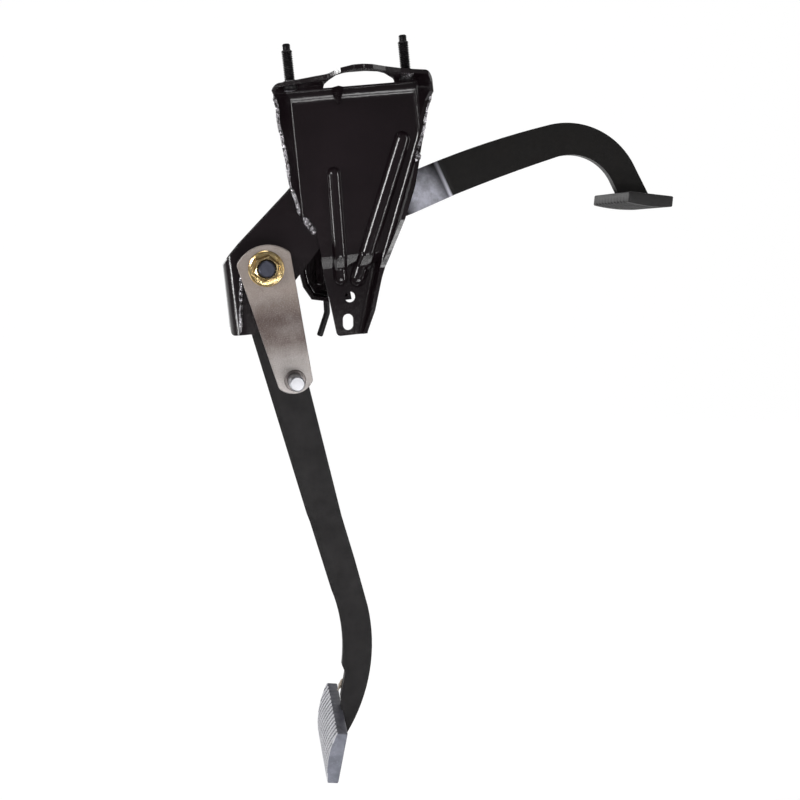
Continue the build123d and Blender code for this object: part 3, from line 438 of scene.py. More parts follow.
def brake_arm_black():
    """Thin enamel over the stamped bar, with a painted pale sheen on the jog's near face and a painted
    highlight line at its end.
    """
    material = satin_black("brake_arm_black", srgb(13, 12, 12), srgb(25, 23, 22), 0.32, 0.46)
    g = Graph(material)
    color = g.shader.inputs["Base Color"].links[0].from_socket
    x, y, z = g.axes()
    reach = g.math("ADD", g.times(g.math("SUBTRACT", x, JOG_END[0]), JOG_DIRECTION[0]),
                   g.times(g.math("SUBTRACT", z, JOG_END[1]), JOG_DIRECTION[1]))
    near_face = g.range(y, 1.0, 0.0, *JOG_FACE_Y)
    patch = g.times(g.range(reach, 0.0, 1.0, *RUB_STARTS), g.range(reach, 1.0, 0.0, *RUB_ENDS))
    lower = g.range(g.math("ADD", z, g.times(reach, RUB_SLOPE)), 0.0, 1.0, *RUB_HEIGHT)
    cloud = g.range(g.noise(120, 5, 0.7), 0.55, 1.0, 0.35, 0.65)
    patch = g.times(patch, lower, cloud, near_face, 0.95)
    band = g.times(g.range(reach, 0.0, 1.0, *BAND_STARTS), g.range(reach, 1.0, 0.0, *BAND_ENDS))
    band = g.times(band, near_face, g.range(z, 0.12, 0.7, *BAND_HEIGHT))
    # The pale patch and line are painted highlight, mixed into the base colour
    g.set(Base_Color=g.mix(g.math("MAXIMUM", patch, band), color, srgb(238, 238, 252)))
    return material


def lever_steel():
    """Bare pickled steel: warm grey at the head, darker in the middle, paler towards the foot, the paler foot
    being painted light from below.
    """
    g = Graph.new("lever_steel")
    _, _, z = g.axes()
    wobble = g.times(g.math("SUBTRACT", g.noise(30, 4), 0.5), 0.012)
    place = g.range(g.math("ADD", z, wobble), 0.0, 1.0, PIVOT[2] + LEVER_TOP, PIVOT[2] + LEVER_FOOT)
    # Ramp down the lever, partly painted light: paler towards the foot
    color = g.ramp(place, *((share, srgb(*tint)) for share, tint in LEVER_TINTS))
    blotch = g.noise(46, 6, 0.62)
    color = g.mix(g.range(blotch, 0.0, 0.3, 0.45, 0.75), color, srgb(176, 170, 168))
    stain = g.noise(130, 5, 0.7)
    color = g.mix(g.range(stain, 0.0, 0.4, 0.55, 0.8), color, srgb(98, 80, 70))
    grit = g.noise(1500, 3, 0.7)
    color = g.mix(g.range(grit, 0.0, 0.45, 0.5, 0.68), color, srgb(70, 60, 56))
    color = g.mix(g.range(grit, 0.35, 0.0, 0.32, 0.48), color, srgb(206, 202, 200))
    scratch = g.noise(500, 3, 0.6, stretch=(1, 1, 6))
    g.set(Base_Color=color, Roughness=g.vary(stain, 0.4, 0.58), Normal=g.bump(scratch, 0.2, 0.0003))
    return g.set(Metallic=0.55, Specular_IOR_Level=0.5)


def bare_steel(name="bare_steel", color=(150, 150, 152), rough=0.3):
    g = Graph.new(name)
    tone = g.noise(90, 4)
    dark = tuple(c * 0.7 for c in srgb(*color))
    g.set(Base_Color=g.mix(g.vary(tone, 0, 1), dark, srgb(*color)),
          Roughness=g.vary(g.noise(400, 3), rough - 0.06, rough + 0.1),
          Normal=g.bump(g.noise(700, 2, stretch=(1, 8, 1)), 0.2, 0.0002))
    return g.set(Metallic=1.0)


def pin_steel():
    """Bright turned pin with a darker collar at the lever, a painted shadow ring round the pin."""
    material = bare_steel("pin_steel", (178, 178, 182), 0.36)
    g = Graph(material)
    color = g.shader.inputs["Base Color"].links[0].from_socket
    _, y, _ = g.axes()
    # Painted shadow: the collar darkened as the pin's shadow ring
    g.set(Base_Color=g.mix(g.range(y, 0.0, 0.85, *COLLAR_Y), color, srgb(92, 84, 80)))
    return material


def yellow_zinc():
    g = Graph.new("yellow_zinc")
    tone = g.noise(160, 4, 0.6)
    color = g.ramp(tone, (0.3, srgb(218, 182, 118)), (0.5, srgb(242, 216, 160)), (0.72, srgb(226, 188, 138)))
    g.set(Base_Color=color, Roughness=g.vary(g.noise(300, 3), 0.16, 0.28),
          Normal=g.bump(g.noise(500, 3), 0.35, 0.0003))
    return g.set(Metallic=1.0)


def rubber(name, low, high, rough=0.62, scuff=None):
    g = Graph.new(name)
    tone = g.noise(70, 4, 0.6)
    fine = g.noise(1600, 3, 0.6)
    color = g.ramp(tone, (0.3, low), (0.7, high))
    if scuff:
        color = g.mix(g.range(g.noise(220, 5, 0.7), 0.0, 0.5, 0.5, 0.75), color, scuff)
    g.set(Base_Color=color, Roughness=g.vary(fine, rough - 0.08, rough + 0.1),
          Normal=g.bump(fine, 0.4, 0.0003))
    return g.set(Specular_IOR_Level=0.35)


def plastic():
    g = Graph.new("bush_plastic")
    tone = g.noise(90, 3)
    g.set(Base_Color=g.ramp(tone, (0.3, srgb(205, 198, 178)), (0.7, srgb(222, 216, 198))),
          Roughness=g.vary(g.noise(500, 3), 0.4, 0.55), Normal=g.bump(g.noise(900, 2), 0.2, 0.0002))
    return g.set(Specular_IOR_Level=0.45)


GLOSS = gloss_black()
WELD = weld_black()
ARM_CLUTCH = satin_black("clutch_arm_black", srgb(19, 17, 18), srgb(29, 27, 28), 0.46, 0.6)
ARM_BRAKE = brake_arm_black()
STUD = satin_black("stud_black", srgb(14, 12, 14), srgb(24, 22, 24), 0.3, 0.42)
PLATE = satin_black("plate_black", srgb(26, 24, 24), srgb(38, 35, 35))
LEVER = lever_steel()
STEEL = bare_steel()
SHAFT_END = bare_steel("shaft_steel", (84, 86, 98), 0.34)
PIN = pin_steel()
BARE_WELD = satin_black("bare_weld", srgb(150, 138, 124), srgb(196, 184, 170), 0.4, 0.55)
ZINC = yellow_zinc()
ZINC_SIDE = bare_steel("zinc_side_shade", (112, 84, 34), 0.32)
BUSH = plastic()
# In the order of the pads' material slots: tread, side, top, groove, rim. The side and top are darker copies
# of the tread's rubber as painted shade, the grooves are darker with dust and painted shade, and the rim is
# paler along the tread's lower edge
CLUTCH_RUBBERS = (
    rubber("clutch_rubber", srgb(178, 178, 183), srgb(198, 198, 203), 0.6, srgb(212, 212, 216)),
    rubber("clutch_rubber_side_shaded", srgb(102, 104, 114), srgb(130, 132, 143), 0.5, srgb(154, 156, 166)),
    rubber("clutch_rubber_top_shaded", srgb(58, 58, 64), srgb(84, 84, 92), 0.5, srgb(104, 104, 112)),
    rubber("clutch_rubber_groove_dust_and_shade", srgb(96, 96, 102), srgb(116, 116, 122), 0.65),
    rubber("clutch_rubber_rim", srgb(206, 206, 210), srgb(226, 226, 230), 0.55),
)
BRAKE_RUBBER = rubber("brake_rubber", srgb(18, 17, 17), srgb(28, 26, 27), 0.55)
BUMPER = rubber("bumper_rubber", srgb(28, 27, 28), srgb(38, 37, 38))

FINISH = {
    "front_shell": GLOSS, "rear_shell": GLOSS, "front_pivot_cheek": GLOSS, "rear_pivot_cheek": GLOSS,
    "mounting_studs": STUD, "front_bearing_boss": GLOSS, "rear_bearing_boss": GLOSS, "front_bushing": BUSH,
    "rear_bushing": BUSH, "spring_hook": STUD, "brake_stop_bracket": GLOSS, "brake_stop_bumper": BUMPER,
    "clutch_stop_bumper": BUMPER, "cross_shaft": SHAFT_END, "clutch_arm": ARM_CLUTCH, "clutch_lever": LEVER,
    "lever_pin": PIN, "flange_nut": ZINC, "front_thrust_washer": STEEL, "rear_thrust_washer": STEEL,
    "clutch_pad_plate": PLATE, "clutch_pad": CLUTCH_RUBBERS[TREAD_SLOT], "brake_arm": ARM_BRAKE,
    "brake_hub": ARM_BRAKE, "brake_bushings": BUSH, "brake_rod_pin": PIN, "brake_pad_plate": PLATE,
    "brake_pad": BRAKE_RUBBER,
}
SOFTENED = {"clutch_arm": 0.0008, "brake_arm": 0.0008, "clutch_lever": 0.0006, "front_pivot_cheek": 0.0005,
            "rear_pivot_cheek": 0.0005, "clutch_pad_plate": 0.0003, "brake_pad_plate": 0.0003}
SOFTENED_ANGLE = 50
SOFTENED_SEGMENTS = 2


def finish_nodes():
    for name, material in FINISH.items():
        obj = NODES[name]
        obj.data.materials.clear()
        obj.data.materials.append(material)
    for name, width in SOFTENED.items():
        bevel = NODES[name].modifiers.new("worn_edges", "BEVEL")
        bevel.width = width
        bevel.segments = SOFTENED_SEGMENTS
        bevel.limit_method = "ANGLE"
        bevel.angle_limit = math.radians(SOFTENED_ANGLE)
        bevel.harden_normals = True


def new_piece(name, build, material, body, replaces=None, smooth_angle=35):
    bmesh.ops.recalc_face_normals(build, faces=build.faces)
    mesh = bpy.data.meshes.new(name)
    build.to_mesh(mesh)
    build.free()
    mesh.materials.append(material)
    piece = bpy.data.objects.new(name, mesh)
    bpy.context.scene.collection.objects.link(piece)
    for face in mesh.polygons:
        face.use_smooth = True
    mesh.set_sharp_from_angle(angle=math.radians(smooth_angle))
    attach(piece, body)
    if replaces:
        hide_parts(replaces)
    return piece


def join_rings(build, a, b):
    """Wall of four-sided faces between two closed rings of equal length."""
    count = len(a)
    for k in range(count):
        build.faces.new((a[k], a[(k + 1) % count], b[(k + 1) % count], b[k]))


def rings_to_faces(build, rings):
    """Skins rings of equal length; the first and last ring are closed by a face."""
    made = [[build.verts.new(point) for point in ring] for ring in rings]
    for a, b in zip(made, made[1:]):
        join_rings(build, a, b)
    build.faces.new(made[0])
    build.faces.new(made[-1])


def turned(build, centre, axis, profile, segments):
    """Turned part on a line: profile gives (distance along the axis, radius or radius of angle)."""
    axis = Vector(axis).normalized()
    side = axis.orthogonal().normalized() if abs(axis.z) > 0.9 else axis.cross(Vector((0, 0, 1))).normalized()
    other = axis.cross(side)
    rings = []
    for height, radius in profile:
        ring = []
        for k in range(segments):
            a = 2 * math.pi * k / segments
            r = radius(a) if callable(radius) else radius
            ring.append(Vector(centre) + axis * height + side * (r * math.cos(a)) + other * (r * math.sin(a)))
        rings.append(ring)
    rings_to_faces(build, rings)


def thread_profile(start, end, radius):
    """Rings of a thread between two heights; the crest runs out at both ends."""
    steps = int(round((end - start) / THREAD_PITCH * THREAD_RINGS))
    profile = []
    for k in range(steps + 1):
        height = start + (end - start) * k / steps
        fade = min(1.0, (height - start) / THREAD_PITCH, (end - height) / THREAD_PITCH)

        def radius_at(a, height=height, fade=fade):
            phase = (height / THREAD_PITCH - a / (2 * math.pi)) % 1.0
            cut = abs(phase - 0.5) * 2
            return radius - THREAD_DEPTH * max(0.0, fade) * min(1.0, THREAD_FLANK * cut)
        profile.append((height, radius_at))
    return profile


def add_studs():
    build = bmesh.new()
    shank_end = STUD_LENGTH - STUD_DOG_LENGTH
    for sign in (-1, 1):
        profile = [(-STUD_HEAD_DEPTH, STUD_HEAD_RADIUS - STUD_HEAD_CHAMFER),
                   (-STUD_HEAD_DEPTH + STUD_HEAD_CHAMFER, STUD_HEAD_RADIUS),
                   (-SHEET, STUD_HEAD_RADIUS), (-SHEET, STUD_SEAT_RADIUS), (0.0, STUD_SEAT_RADIUS),
                   (STUD_SEAT_CHAMFER, STUD_RADIUS)]
        profile += thread_profile(STUD_THREAD_START, shank_end - STUD_TIP_LENGTH, STUD_RADIUS)
        profile += [(shank_end, STUD_RADIUS - STUD_TIP_DEPTH), (shank_end + FINE, STUD_DOG_RADIUS),
                    (STUD_LENGTH - STUD_DOG_CHAMFER, STUD_DOG_RADIUS),
                    (STUD_LENGTH, STUD_DOG_RADIUS - STUD_DOG_CHAMFER)]
        turned(build, (sign * STUD_X, 0, 0), (0, 0, 1), profile, segments=40)
    new_piece("threaded_studs", build, STUD, "bracket", "mounting_studs", smooth_angle=50)


def hex_radius(a):
    """Radius of the nut's hexagon at an angle."""
    step = math.pi / 3
    return NUT_ACROSS / 2 / math.cos((a - NUT_TURN) % step - step / 2)


def add_nut():
    """Flange nut; its six sides lean in a little, and have a darker material of their own, painted shade that
    outlines the hexagon.
    """
    build = bmesh.new()
    flange, top = NUT_FLANGE_HEIGHT, NUT_HEIGHT
    face = NUT_ACROSS / 2 - NUT_CROWN

    def chamfered(height):
        limit = face + (top - height) * NUT_CROWN_SLOPE
        return lambda a: min(hex_radius(a) - NUT_TAPER * (height - flange) / (top - flange), limit)
    profile = [(-FINE, THREAD_RADIUS + 2 * FINE), (0.0, NUT_FLANGE_RADIUS - NUT_FLANGE_EDGE),
               (NUT_FLANGE_EDGE, NUT_FLANGE_RADIUS), (flange - NUT_FLANGE_LAND, NUT_FLANGE_RADIUS),
               (flange - 3 * FINE, NUT_FLANGE_RADIUS - NUT_FLANGE_EDGE),
               (flange + 2 * FINE, NUT_FLANGE_RADIUS - NUT_FLANGE_SLOPE),
               (flange + 3 * FINE, lambda a: hex_radius(a) + 3 * FINE),
               (flange + 6 * FINE, lambda a: hex_radius(a) + FINE)]
    for k in range(NUT_CROWN_RINGS):
        height = top - NUT_CROWN_HEIGHT + NUT_CROWN_STEP * k
        profile.append((height, chamfered(height)))
    profile += [(top, face), (top, THREAD_RADIUS + NUT_COUNTERSINK),
                (top - NUT_COUNTERSINK, THREAD_RADIUS + FINE), (top - NUT_BORE_DEPTH, THREAD_RADIUS + FINE)]
    turned(build, (PIVOT[0], LEVER_FACE_Y, PIVOT[2]), (0, -1, 0), profile, segments=96)
    bmesh.ops.remove_doubles(build, verts=build.verts, dist=1e-7)
    # The sides get the darker painted-shade material
    above_flange = LEVER_FACE_Y - flange - NUT_SIDE_ABOVE
    for side in build.faces:
        side.normal_update()
        centre = side.calc_center_median()
        away = math.hypot(centre.x - PIVOT[0], centre.z - PIVOT[2])
        if abs(side.normal.y) < NUT_SIDE_LEVEL and centre.y < above_flange and away > NUT_SIDE_RADIUS:
            side.material_index = 1
    nut = new_piece("hex_flange_nut", build, ZINC, "clutch_pedal", "flange_nut", smooth_angle=16)
    nut.data.materials.append(ZINC_SIDE)


def add_shaft():
    """Cross shaft with a threaded end, turned down where the lever sits."""
    _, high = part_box("cross_shaft")
    build = bmesh.new()
    back = high[1] - LEVER_FACE_Y
    tip = -(NUT_HEIGHT + THREAD_PROUD)
    profile = [(tip, SHAFT_CENTRE_HOLE), (tip, THREAD_RADIUS - SHAFT_TIP_CHAMFER),
               (tip + SHAFT_TIP_CHAMFER - FINE, THREAD_RADIUS - FINE)]
    profile += thread_profile(tip + SHAFT_TIP_CHAMFER, SHAFT_THREAD_END, THREAD_RADIUS)
    profile += [(SHAFT_THREAD_RELIEF, THREAD_RADIUS), (0.0, SHAFT_NECK_RADIUS),
                (SHAFT_NECK_LENGTH, SHAFT_NECK_RADIUS),
                (SHAFT_NECK_LENGTH, SHAFT_RADIUS - SHAFT_NECK_CHAMFER),
                (SHAFT_NECK_LENGTH + SHAFT_NECK_CHAMFER, SHAFT_RADIUS),
                (back - SHAFT_CHAMFER, SHAFT_RADIUS), (back, SHAFT_RADIUS - SHAFT_CHAMFER)]
    turned(build, (PIVOT[0], LEVER_FACE_Y, PIVOT[2]), (0, 1, 0), profile, segments=64)
    new_piece("turned_cross_shaft", build, SHAFT_END, "clutch_pedal", "cross_shaft", smooth_angle=40)


def pad_matrix(pad):
    """Tread plane of a pad: x across the car, y up the arm, z out of the tread."""
    lean = Matrix.Rotation(math.radians(pad["lean"]), 3, "Y")
    n, u, w = lean @ Vector(pad["normal"]), lean @ Vector(pad["up"]), Vector((0, 1, 0))
    t, a = math.radians(pad["tilt"]), math.radians(pad["turn"])
    n, w = n * math.cos(t) - w * math.sin(t), n * math.sin(t) + w * math.cos(t)
    w = w * math.cos(a) + u * math.sin(a)
    up = n.cross(w)
    if up.dot(u) < 0:
        w, up = -w, -up
    turn = Matrix((w, up, n)).transposed()
    return Matrix.Translation(Vector(pad["centre"])) @ turn.to_4x4()


def ribbed_tread(size, pitch, depth, slant, sides, foot):
    """Depth of slanted grooves that run out through the upper edge, with one groove along the foot."""
    width, height, _ = size

    def step(distance, over):
        return min(1.0, max(0.0, distance / over))

    def tread(u, v):
        above_foot = v + height / 2 - foot
        inside = step(width / 2 - sides - abs(u), GROOVE_EDGE) * step(above_foot, GROOVE_EDGE)
        phase = ((u - v * math.tan(slant)) / pitch) % 1.0
        groove = inside * step(GROOVE_SHARE - abs(phase - 0.5) * 2, GROOVE_WALL)
        foot_groove = step(FOOT_GROOVE_HALF - abs(above_foot + FOOT_GROOVE_DROP), FOOT_GROOVE_WALL)
        if abs(u) >= width / 2 - FOOT_GROOVE_END:
            foot_groove = 0.0
        return depth * max(groove, foot_groove)
    return tread


def add_pad(name, node, pad, materials, body, tread, step):
    """Moulded pad: crowned tread with its pattern, rounded edges, a lip behind the steel plate."""
    width, height, thick = pad["size"]
    crown = pad["crown"]
    radius = (height ** 2 / 4 + crown ** 2) / (2 * crown)
    columns, rows = int(width / step), int(height / step)

    def soften(u, v):
        """Draws a point of the grid in to the pad's rounded corner."""
        du, dv = abs(u) - (width / 2 - PAD_CORNER), abs(v) - (height / 2 - PAD_CORNER)
        if du > 0 and dv > 0 and math.hypot(du, dv) > PAD_CORNER:
            scale = PAD_CORNER / math.hypot(du, dv)
            u = math.copysign(width / 2 - PAD_CORNER + du * scale, u)
            v = math.copysign(height / 2 - PAD_CORNER + dv * scale, v)
        return u, v

    def crowned(v):
        return crown - radius + math.sqrt(max(0.0, radius ** 2 - v ** 2))

    def shrink(u, v, by_u, by_v):
        return u * (1 - 2 * by_u / width), v * (1 - 2 * by_v / height)

    build = bmesh.new()
    grid = []
    for j in range(rows + 1):
        row = []
        for i in range(columns + 1):
            u, v = soften(width * (i / columns - 0.5), height * (j / rows - 0.5))
            u, v = shrink(u, v, PAD_EDGE, PAD_EDGE)
            row.append(build.verts.new((u, v, crowned(v) - tread(u, v))))
        grid.append(row)
    for j in range(rows):
        for i in range(columns):
            build.faces.new((grid[j][i], grid[j][i + 1], grid[j + 1][i + 1], grid[j + 1][i]))
    loop = grid[0] + [row[-1] for row in grid[1:-1]] + grid[-1][::-1] + [row[0] for row in grid[-2:0:-1]]

    def ring(by_u, by_v, z):
        """Copy of the outline, drawn in from the pad's full size; z is a height, or a height of a vertex."""
        made = []
        for vert in loop:
            u, v = vert.co.x / (1 - 2 * PAD_EDGE / width), vert.co.y / (1 - 2 * PAD_EDGE / height)
            made.append(build.verts.new((*shrink(u, v, by_u, by_v), z(vert) if callable(z) else z)))
        return made
    back = -thick
    lip_top = back + PAD_LIP - FINE
    pocket_top = -(thick - PAD_LIP - PAD_PLATE) + FINE
    pocket = PAD_RIM - FINE
    window_u, window_v = PAD_RIM + PAD_WINDOW[0], PAD_RIM + PAD_WINDOW[1]
    # From the tread's rounded edge down the side, round the back edge, and through the window to the pocket
    stations = [ring(2 * FINE, 2 * FINE, lambda vert: vert.co.z - 3 * FINE),
                ring(0, 0, lambda vert: vert.co.z - 8 * FINE),
                ring(0, 0, back + PAD_BACK_ROUND), ring(3 * FINE, 3 * FINE, back + 3 * FINE),
                ring(PAD_BACK_ROUND, PAD_BACK_ROUND, back),
                ring(window_u, window_v, back), ring(window_u, window_v, lip_top),
                ring(pocket, pocket, lip_top), ring(pocket, pocket, pocket_top)]
    for a, b in zip([loop] + stations, stations):
        join_rings(build, a, b)
    build.faces.new(stations[-1])
    bmesh.ops.recalc_face_normals(build, faces=build.faces)
    # Faces down the pad's side and top get the painted-shade copies of the rubber, groove faces the
    # dust-and-shade one
    for face in build.faces:
        centre = face.calc_center_median()
        below = crowned(centre.y) - centre.z
        on_tread = abs(centre.x) < width / 2 - PAD_BORDER and abs(centre.y) < height / 2 - PAD_BORDER
        if on_tread and centre.z > -TREAD_REACH - crown:
            if below > GROOVE_BELOW:
                face.material_index = GROOVE_SLOT
            elif centre.y < -height / 2 + PAD_RIM:
                face.material_index = RIM_SLOT
        elif below > SIDE_BELOW:
            face.material_index = TOP_SLOT if centre.y > height / 2 - TOP_SIDE else SIDE_SLOT
    build.transform(pad_matrix(pad))
    piece = new_piece(name, build, materials[0], body, node, smooth_angle=40)
    for material in materials[1:]:
        piece.data.materials.append(material)


def add_pads():
    add_pad("clutch_pad_moulded", "clutch_pad", CLUTCH_PAD, CLUTCH_RUBBERS, "clutch_pedal",
            ribbed_tread(CLUTCH_PAD["size"], **CLUTCH_TREAD), CLUTCH_TREAD_STEP)
    add_pad("brake_pad_moulded", "brake_pad", BRAKE_PAD, (BRAKE_RUBBER,) * 5, "brake_pedal",
            ribbed_tread(BRAKE_PAD["size"], **BRAKE_TREAD), BRAKE_TREAD_STEP)


def add_bumper(node, body, axis):
    """Moulded rubber bumper with two rolls, a rounded nose and a stem, in its solid's box."""
    low, high = (Vector(c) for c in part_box(node))
    middle = (low + high) / 2
    if axis == "x":
        base, direction, length = Vector((low.x, middle.y, middle.z)), (1, 0, 0), high.x - low.x
    else:
        base, direction, length = Vector((middle.x, middle.y, low.z)), (0, 0, 1), high.z - low.z
    r = BUMPER_RADIUS
    stem = length - BUMPER_HEADS[axis]
    start = stem + BUMPER_EDGE
    chamfer_length, chamfer_depth = BUMPER_STEM_CHAMFER
    profile = [(0.0, BUMPER_STEM_RADIUS - chamfer_depth), (chamfer_length, BUMPER_STEM_RADIUS),
               (stem, BUMPER_STEM_RADIUS), (stem, r - BUMPER_EDGE), (start, r)]
    for k in range(1, BUMPER_RINGS + 1):
        t = k / BUMPER_RINGS
        if t < BUMPER_ROLLS_END:
            roll = BUMPER_ROLL * (0.5 - 0.5 * math.cos(4 * math.pi * t))
            profile.append((start + (length - start) * t, r - roll))
        else:
            nose = (t - BUMPER_ROLLS_END) / (1 - BUMPER_ROLLS_END) * math.pi / 2
            t = BUMPER_ROLLS_END + (1 - BUMPER_ROLLS_END) * math.sin(nose)
            profile.append((start + (length - start) * t,
                            max(BUMPER_NOSE_FLAT, r * math.cos(nose * BUMPER_NOSE_SWEEP))))
    build = bmesh.new()
    turned(build, base, direction, profile, segments=40)
    new_piece(node + "_moulded", build, BUMPER, body, node, smooth_angle=45)


def look(px, py):
    """Direction from the camera through a pixel of the photograph."""
    half = IMAGE_SIZE / 2
    local = Vector((px - half, half - py, -FOCAL_PX)).normalized()
    return (bpy.context.scene.camera.matrix_world.to_3x3() @ local).normalized()


def on_node(node, px, py, depth):
    """Point of a node's surface behind a pixel, or its nearest point when the pixel just misses it."""
    direction = look(px, py)
    hit, place, normal, _ = NODES[node].ray_cast(CAMERA_AT, direction)
    if not hit:
        point = CAMERA_AT + direction * ((depth - CAMERA_AT.y) / direction.y)
        _, place, normal, _ = NODES[node].closest_point_on_mesh(point)
    return place, normal


def bead(build, points, radius, seed, ripple=BEAD_RIPPLE, lift=BEAD_LIFT):
    """Weld bead: overlapping scallops along a line of (place, normal)."""
    rng = random.Random(seed)
    places = [Vector(p) for p, _ in points]
    normals = [Vector(n) for _, n in points]
    lengths = [(b - a).length for a, b in zip(places, places[1:])]
    total = sum(lengths)
    steps = max(BEAD_LEAST_RINGS, int(total / (ripple / BEAD_RINGS_PER_RIPPLE)))
    rings = []
    for k in range(steps + 1):
        want, index = total * k / steps, 0
        while index < len(lengths) - 1 and want > lengths[index]:
            want -= lengths[index]
            index += 1
        t = min(1.0, want / lengths[index])
        place = places[index].lerp(places[index + 1], t)
        normal = normals[index].lerp(normals[index + 1], t).normalized()
        along = (places[index + 1] - places[index]).normalized()
        side = along.cross(normal).normalized()
        up = side.cross(along).normalized()
        phase = (total * k / steps / ripple) % 1.0
        swell = BEAD_NECK + BEAD_SWELL * math.sqrt(max(0.0, 1 - (2 * phase - 1) ** 2))
        swell += rng.uniform(-BEAD_UNEVEN, BEAD_UNEVEN)
        from_end = min(k, steps - k) / BEAD_END_RINGS
        r = radius * swell * math.sin(math.pi * min(0.5, max(BEAD_END_SHARE, from_end * 0.5)))
        wander = rng.uniform(-BEAD_WANDER, BEAD_WANDER)
        centre = place + up * (radius * lift) + side * (radius * wander)
        ring = []
        for j in range(BEAD_SEGMENTS):
            a = 2 * math.pi * j / BEAD_SEGMENTS
            ring.append(centre + side * (r * math.cos(a)) + up * (r * BEAD_FLATNESS * math.sin(a)))
        rings.append(ring)
    rings_to_faces(build, rings)


def weld_ring(build, radius, y, side, bead_radius, seed):
    """Bead round a shaft or tube on the pivot's line, on the face at y that looks to side."""
    ring = [((PIVOT[0] + radius * math.cos(a), y, PIVOT[2] + radius * math.sin(a)), (0, side, 0))
            for a in (2 * math.pi * k / PIVOT_BEAD_STEPS for k in range(PIVOT_BEAD_STEPS + 1))]
    bead(build, ring, bead_radius, seed)


def weld_foot(build, pad, y_faces, reach, seed):
    """Two beads that join an arm's foot to the back of its pad's steel plate."""
    matrix = pad_matrix(pad)
    turn = matrix.to_3x3()
    across, up, out = turn.col[0], turn.col[1], turn.col[2]
    back = -(pad["size"][2] - PAD_LIP)
    half = (FOOT_BEAD["corners"] - 1) / 2
    for side, y in zip((-1, 1), y_faces):
        line = []
        for k in range(FOOT_BEAD["corners"]):
            v = reach * (k / half - 1)
            u = (y - pad["centre"][1] - up.y * v - out.y * back) / across.y
            line.append((matrix @ Vector((u, v, back)), (Vector((0, side, 0)) - out).normalized()))
        bead(build, line, FOOT_BEAD["radius"], seed + side, FOOT_BEAD["ripple"], FOOT_BEAD["lift"])


def add_pedal_welds():
    low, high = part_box("clutch_arm")
    build = bmesh.new()
    weld_ring(build, SHAFT_BEAD_RING, high[1], 1, bead_radius=0.0014, seed=31)
    weld_foot(build, CLUTCH_PAD, (low[1], high[1]), reach=0.019, seed=41)
    new_piece("clutch_pedal_weld_beads", build, ARM_CLUTCH, "clutch_pedal", smooth_angle=WELD_SMOOTH)
    build = bmesh.new()
    weld_ring(build, HUB_BEAD_RING, BRAKE_INNER_Y, -1, bead_radius=0.0018, seed=51)
    weld_ring(build, HUB_BEAD_RING, BRAKE_INNER_Y + ARM_THICKNESS, 1, bead_radius=0.0018, seed=52)
    weld_foot(build, BRAKE_PAD, (BRAKE_OUTER_Y, BRAKE_OUTER_Y + ARM_THICKNESS), reach=0.011, seed=61)
    new_piece("brake_pedal_weld_beads", build, ARM_BRAKE, "brake_pedal", smooth_angle=WELD_SMOOTH)


def add_welds():
    build = bmesh.new()
    for seed, line, radius, node in BRACKET_BEADS:
        bead(build, [on_node(node, px, py, 0.0) for px, py in line], radius, seed)
    reach, corners = STUD_BEAD["ring"], STUD_BEAD["corners"]
    for sign in (-1, 1):
        ring = [((sign * STUD_X + reach * math.cos(a), reach * math.sin(a), STUD_BEAD["height"]), (0, 0, 1))
                for a in (2 * math.pi * k / corners for k in range(corners))]
        bead(build, ring, STUD_BEAD["radius"], STUD_BEAD["seed"] + sign)
    new_piece("bracket_weld_beads", build, WELD, "bracket", smooth_angle=WELD_SMOOTH)
    build = bmesh.new()
    line = [on_node("clutch_arm", px, py, PLATE_BEAD["depth"]) for px, py in PAD_WELD_PX]
    bead(build, line, PLATE_BEAD["radius"], PLATE_BEAD["seed"], PLATE_BEAD["ripple"], PLATE_BEAD["lift"])
    new_piece("clutch_pad_plate_weld", build, BARE_WELD, "clutch_pedal", smooth_angle=WELD_SMOOTH)


def stage_white():
    """Pale grey for light that falls on it, white to camera, glossy and transmission rays."""
    g = Graph.new("stage_white")
    g.set(Base_Color=STAGE_GREY, Roughness=0.9, Specular_IOR_Level=0.1)
    white = g.node("ShaderNodeEmission", Color=(1, 1, 1), Strength=STAGE_GLOW)
    path = g.node("ShaderNodeLightPath")
    seen = g.math("MAXIMUM", path.outputs["Is Camera Ray"],
                  g.math("MAXIMUM", path.outputs["Is Glossy Ray"], path.outputs["Is Transmission Ray"]))
    mix = g.node("ShaderNodeMixShader", Fac=g.times(seen, STAGE_GLOW_SHARE))
    g.feed(mix.inputs[1], g.shader.outputs[0])
    g.feed(mix.inputs[2], white.outputs[0])
    g.feed(g.output.inputs["Surface"], mix.outputs[0])
    return g.material


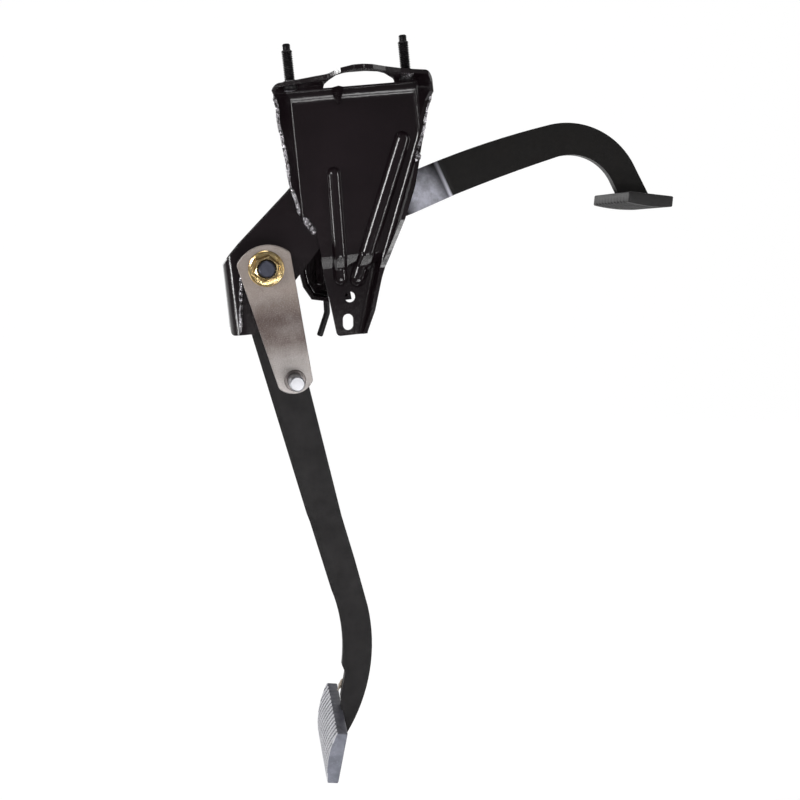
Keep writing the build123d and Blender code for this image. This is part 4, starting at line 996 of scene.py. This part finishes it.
def add_stage():
    floor_z = CAD_BOX[0][2] - FLOOR_DROP
    bend_y = BACKDROP_Y - STAGE_BEND
    profile = [(FLOOR_FRONT, floor_z), (bend_y, floor_z)]
    for k in range(1, STAGE_BEND_STEPS + 1):
        a = math.pi / 2 * k / STAGE_BEND_STEPS
        profile.append((bend_y + STAGE_BEND * math.sin(a), floor_z + STAGE_BEND - STAGE_BEND * math.cos(a)))
    profile.append((BACKDROP_Y, BACKDROP_TOP))
    build = bmesh.new()
    left, right = ([build.verts.new((x, y, z)) for y, z in profile]
                   for x in (-STAGE_HALF_WIDTH, STAGE_HALF_WIDTH))
    for k in range(len(profile) - 1):
        build.faces.new((left[k], right[k], right[k + 1], left[k + 1]))
    mesh = bpy.data.meshes.new("stage")
    build.to_mesh(mesh)
    build.free()
    for face in mesh.polygons:
        face.use_smooth = True
    stage = bpy.data.objects.new("stage", mesh)
    mesh.materials.append(stage_white())
    bpy.context.scene.collection.objects.link(stage)


def add_world():
    world = bpy.data.worlds.new("studio")
    world.use_nodes = True
    tree = world.node_tree
    backdrop = tree.nodes["Background"]
    backdrop.inputs["Color"].default_value = (1, 1, 1, 1)
    path = tree.nodes.new("ShaderNodeLightPath")
    level = tree.nodes.new("ShaderNodeMapRange")
    level.inputs["To Min"].default_value = WORLD_LEVEL
    level.inputs["To Max"].default_value = WORLD_WHITE
    tree.links.new(path.outputs["Is Camera Ray"], level.inputs["Value"])
    tree.links.new(level.outputs[0], backdrop.inputs["Strength"])
    bpy.context.scene.world = world


def add_lamps():
    for name, at, target, (width, height), power in LAMPS:
        data = bpy.data.lights.new(name, "AREA")
        data.shape = "RECTANGLE"
        data.size, data.size_y = width, height
        data.energy = power
        light = bpy.data.objects.new(name, data)
        light.rotation_euler = (Vector(target) - Vector(at)).to_track_quat("-Z", "Y").to_euler()
        light.location = at
        light.visible_camera = False
        bpy.context.scene.collection.objects.link(light)


add_camera()
finish_nodes()
add_stage()
add_world()
add_lamps()
add_studs()
add_nut()
add_shaft()
add_pads()
add_bumper("clutch_stop_bumper", "bracket", "x")
add_bumper("brake_stop_bumper", "bracket", "z")
add_welds()
add_pedal_welds()
bpy.context.scene.view_settings.view_transform = "Standard"
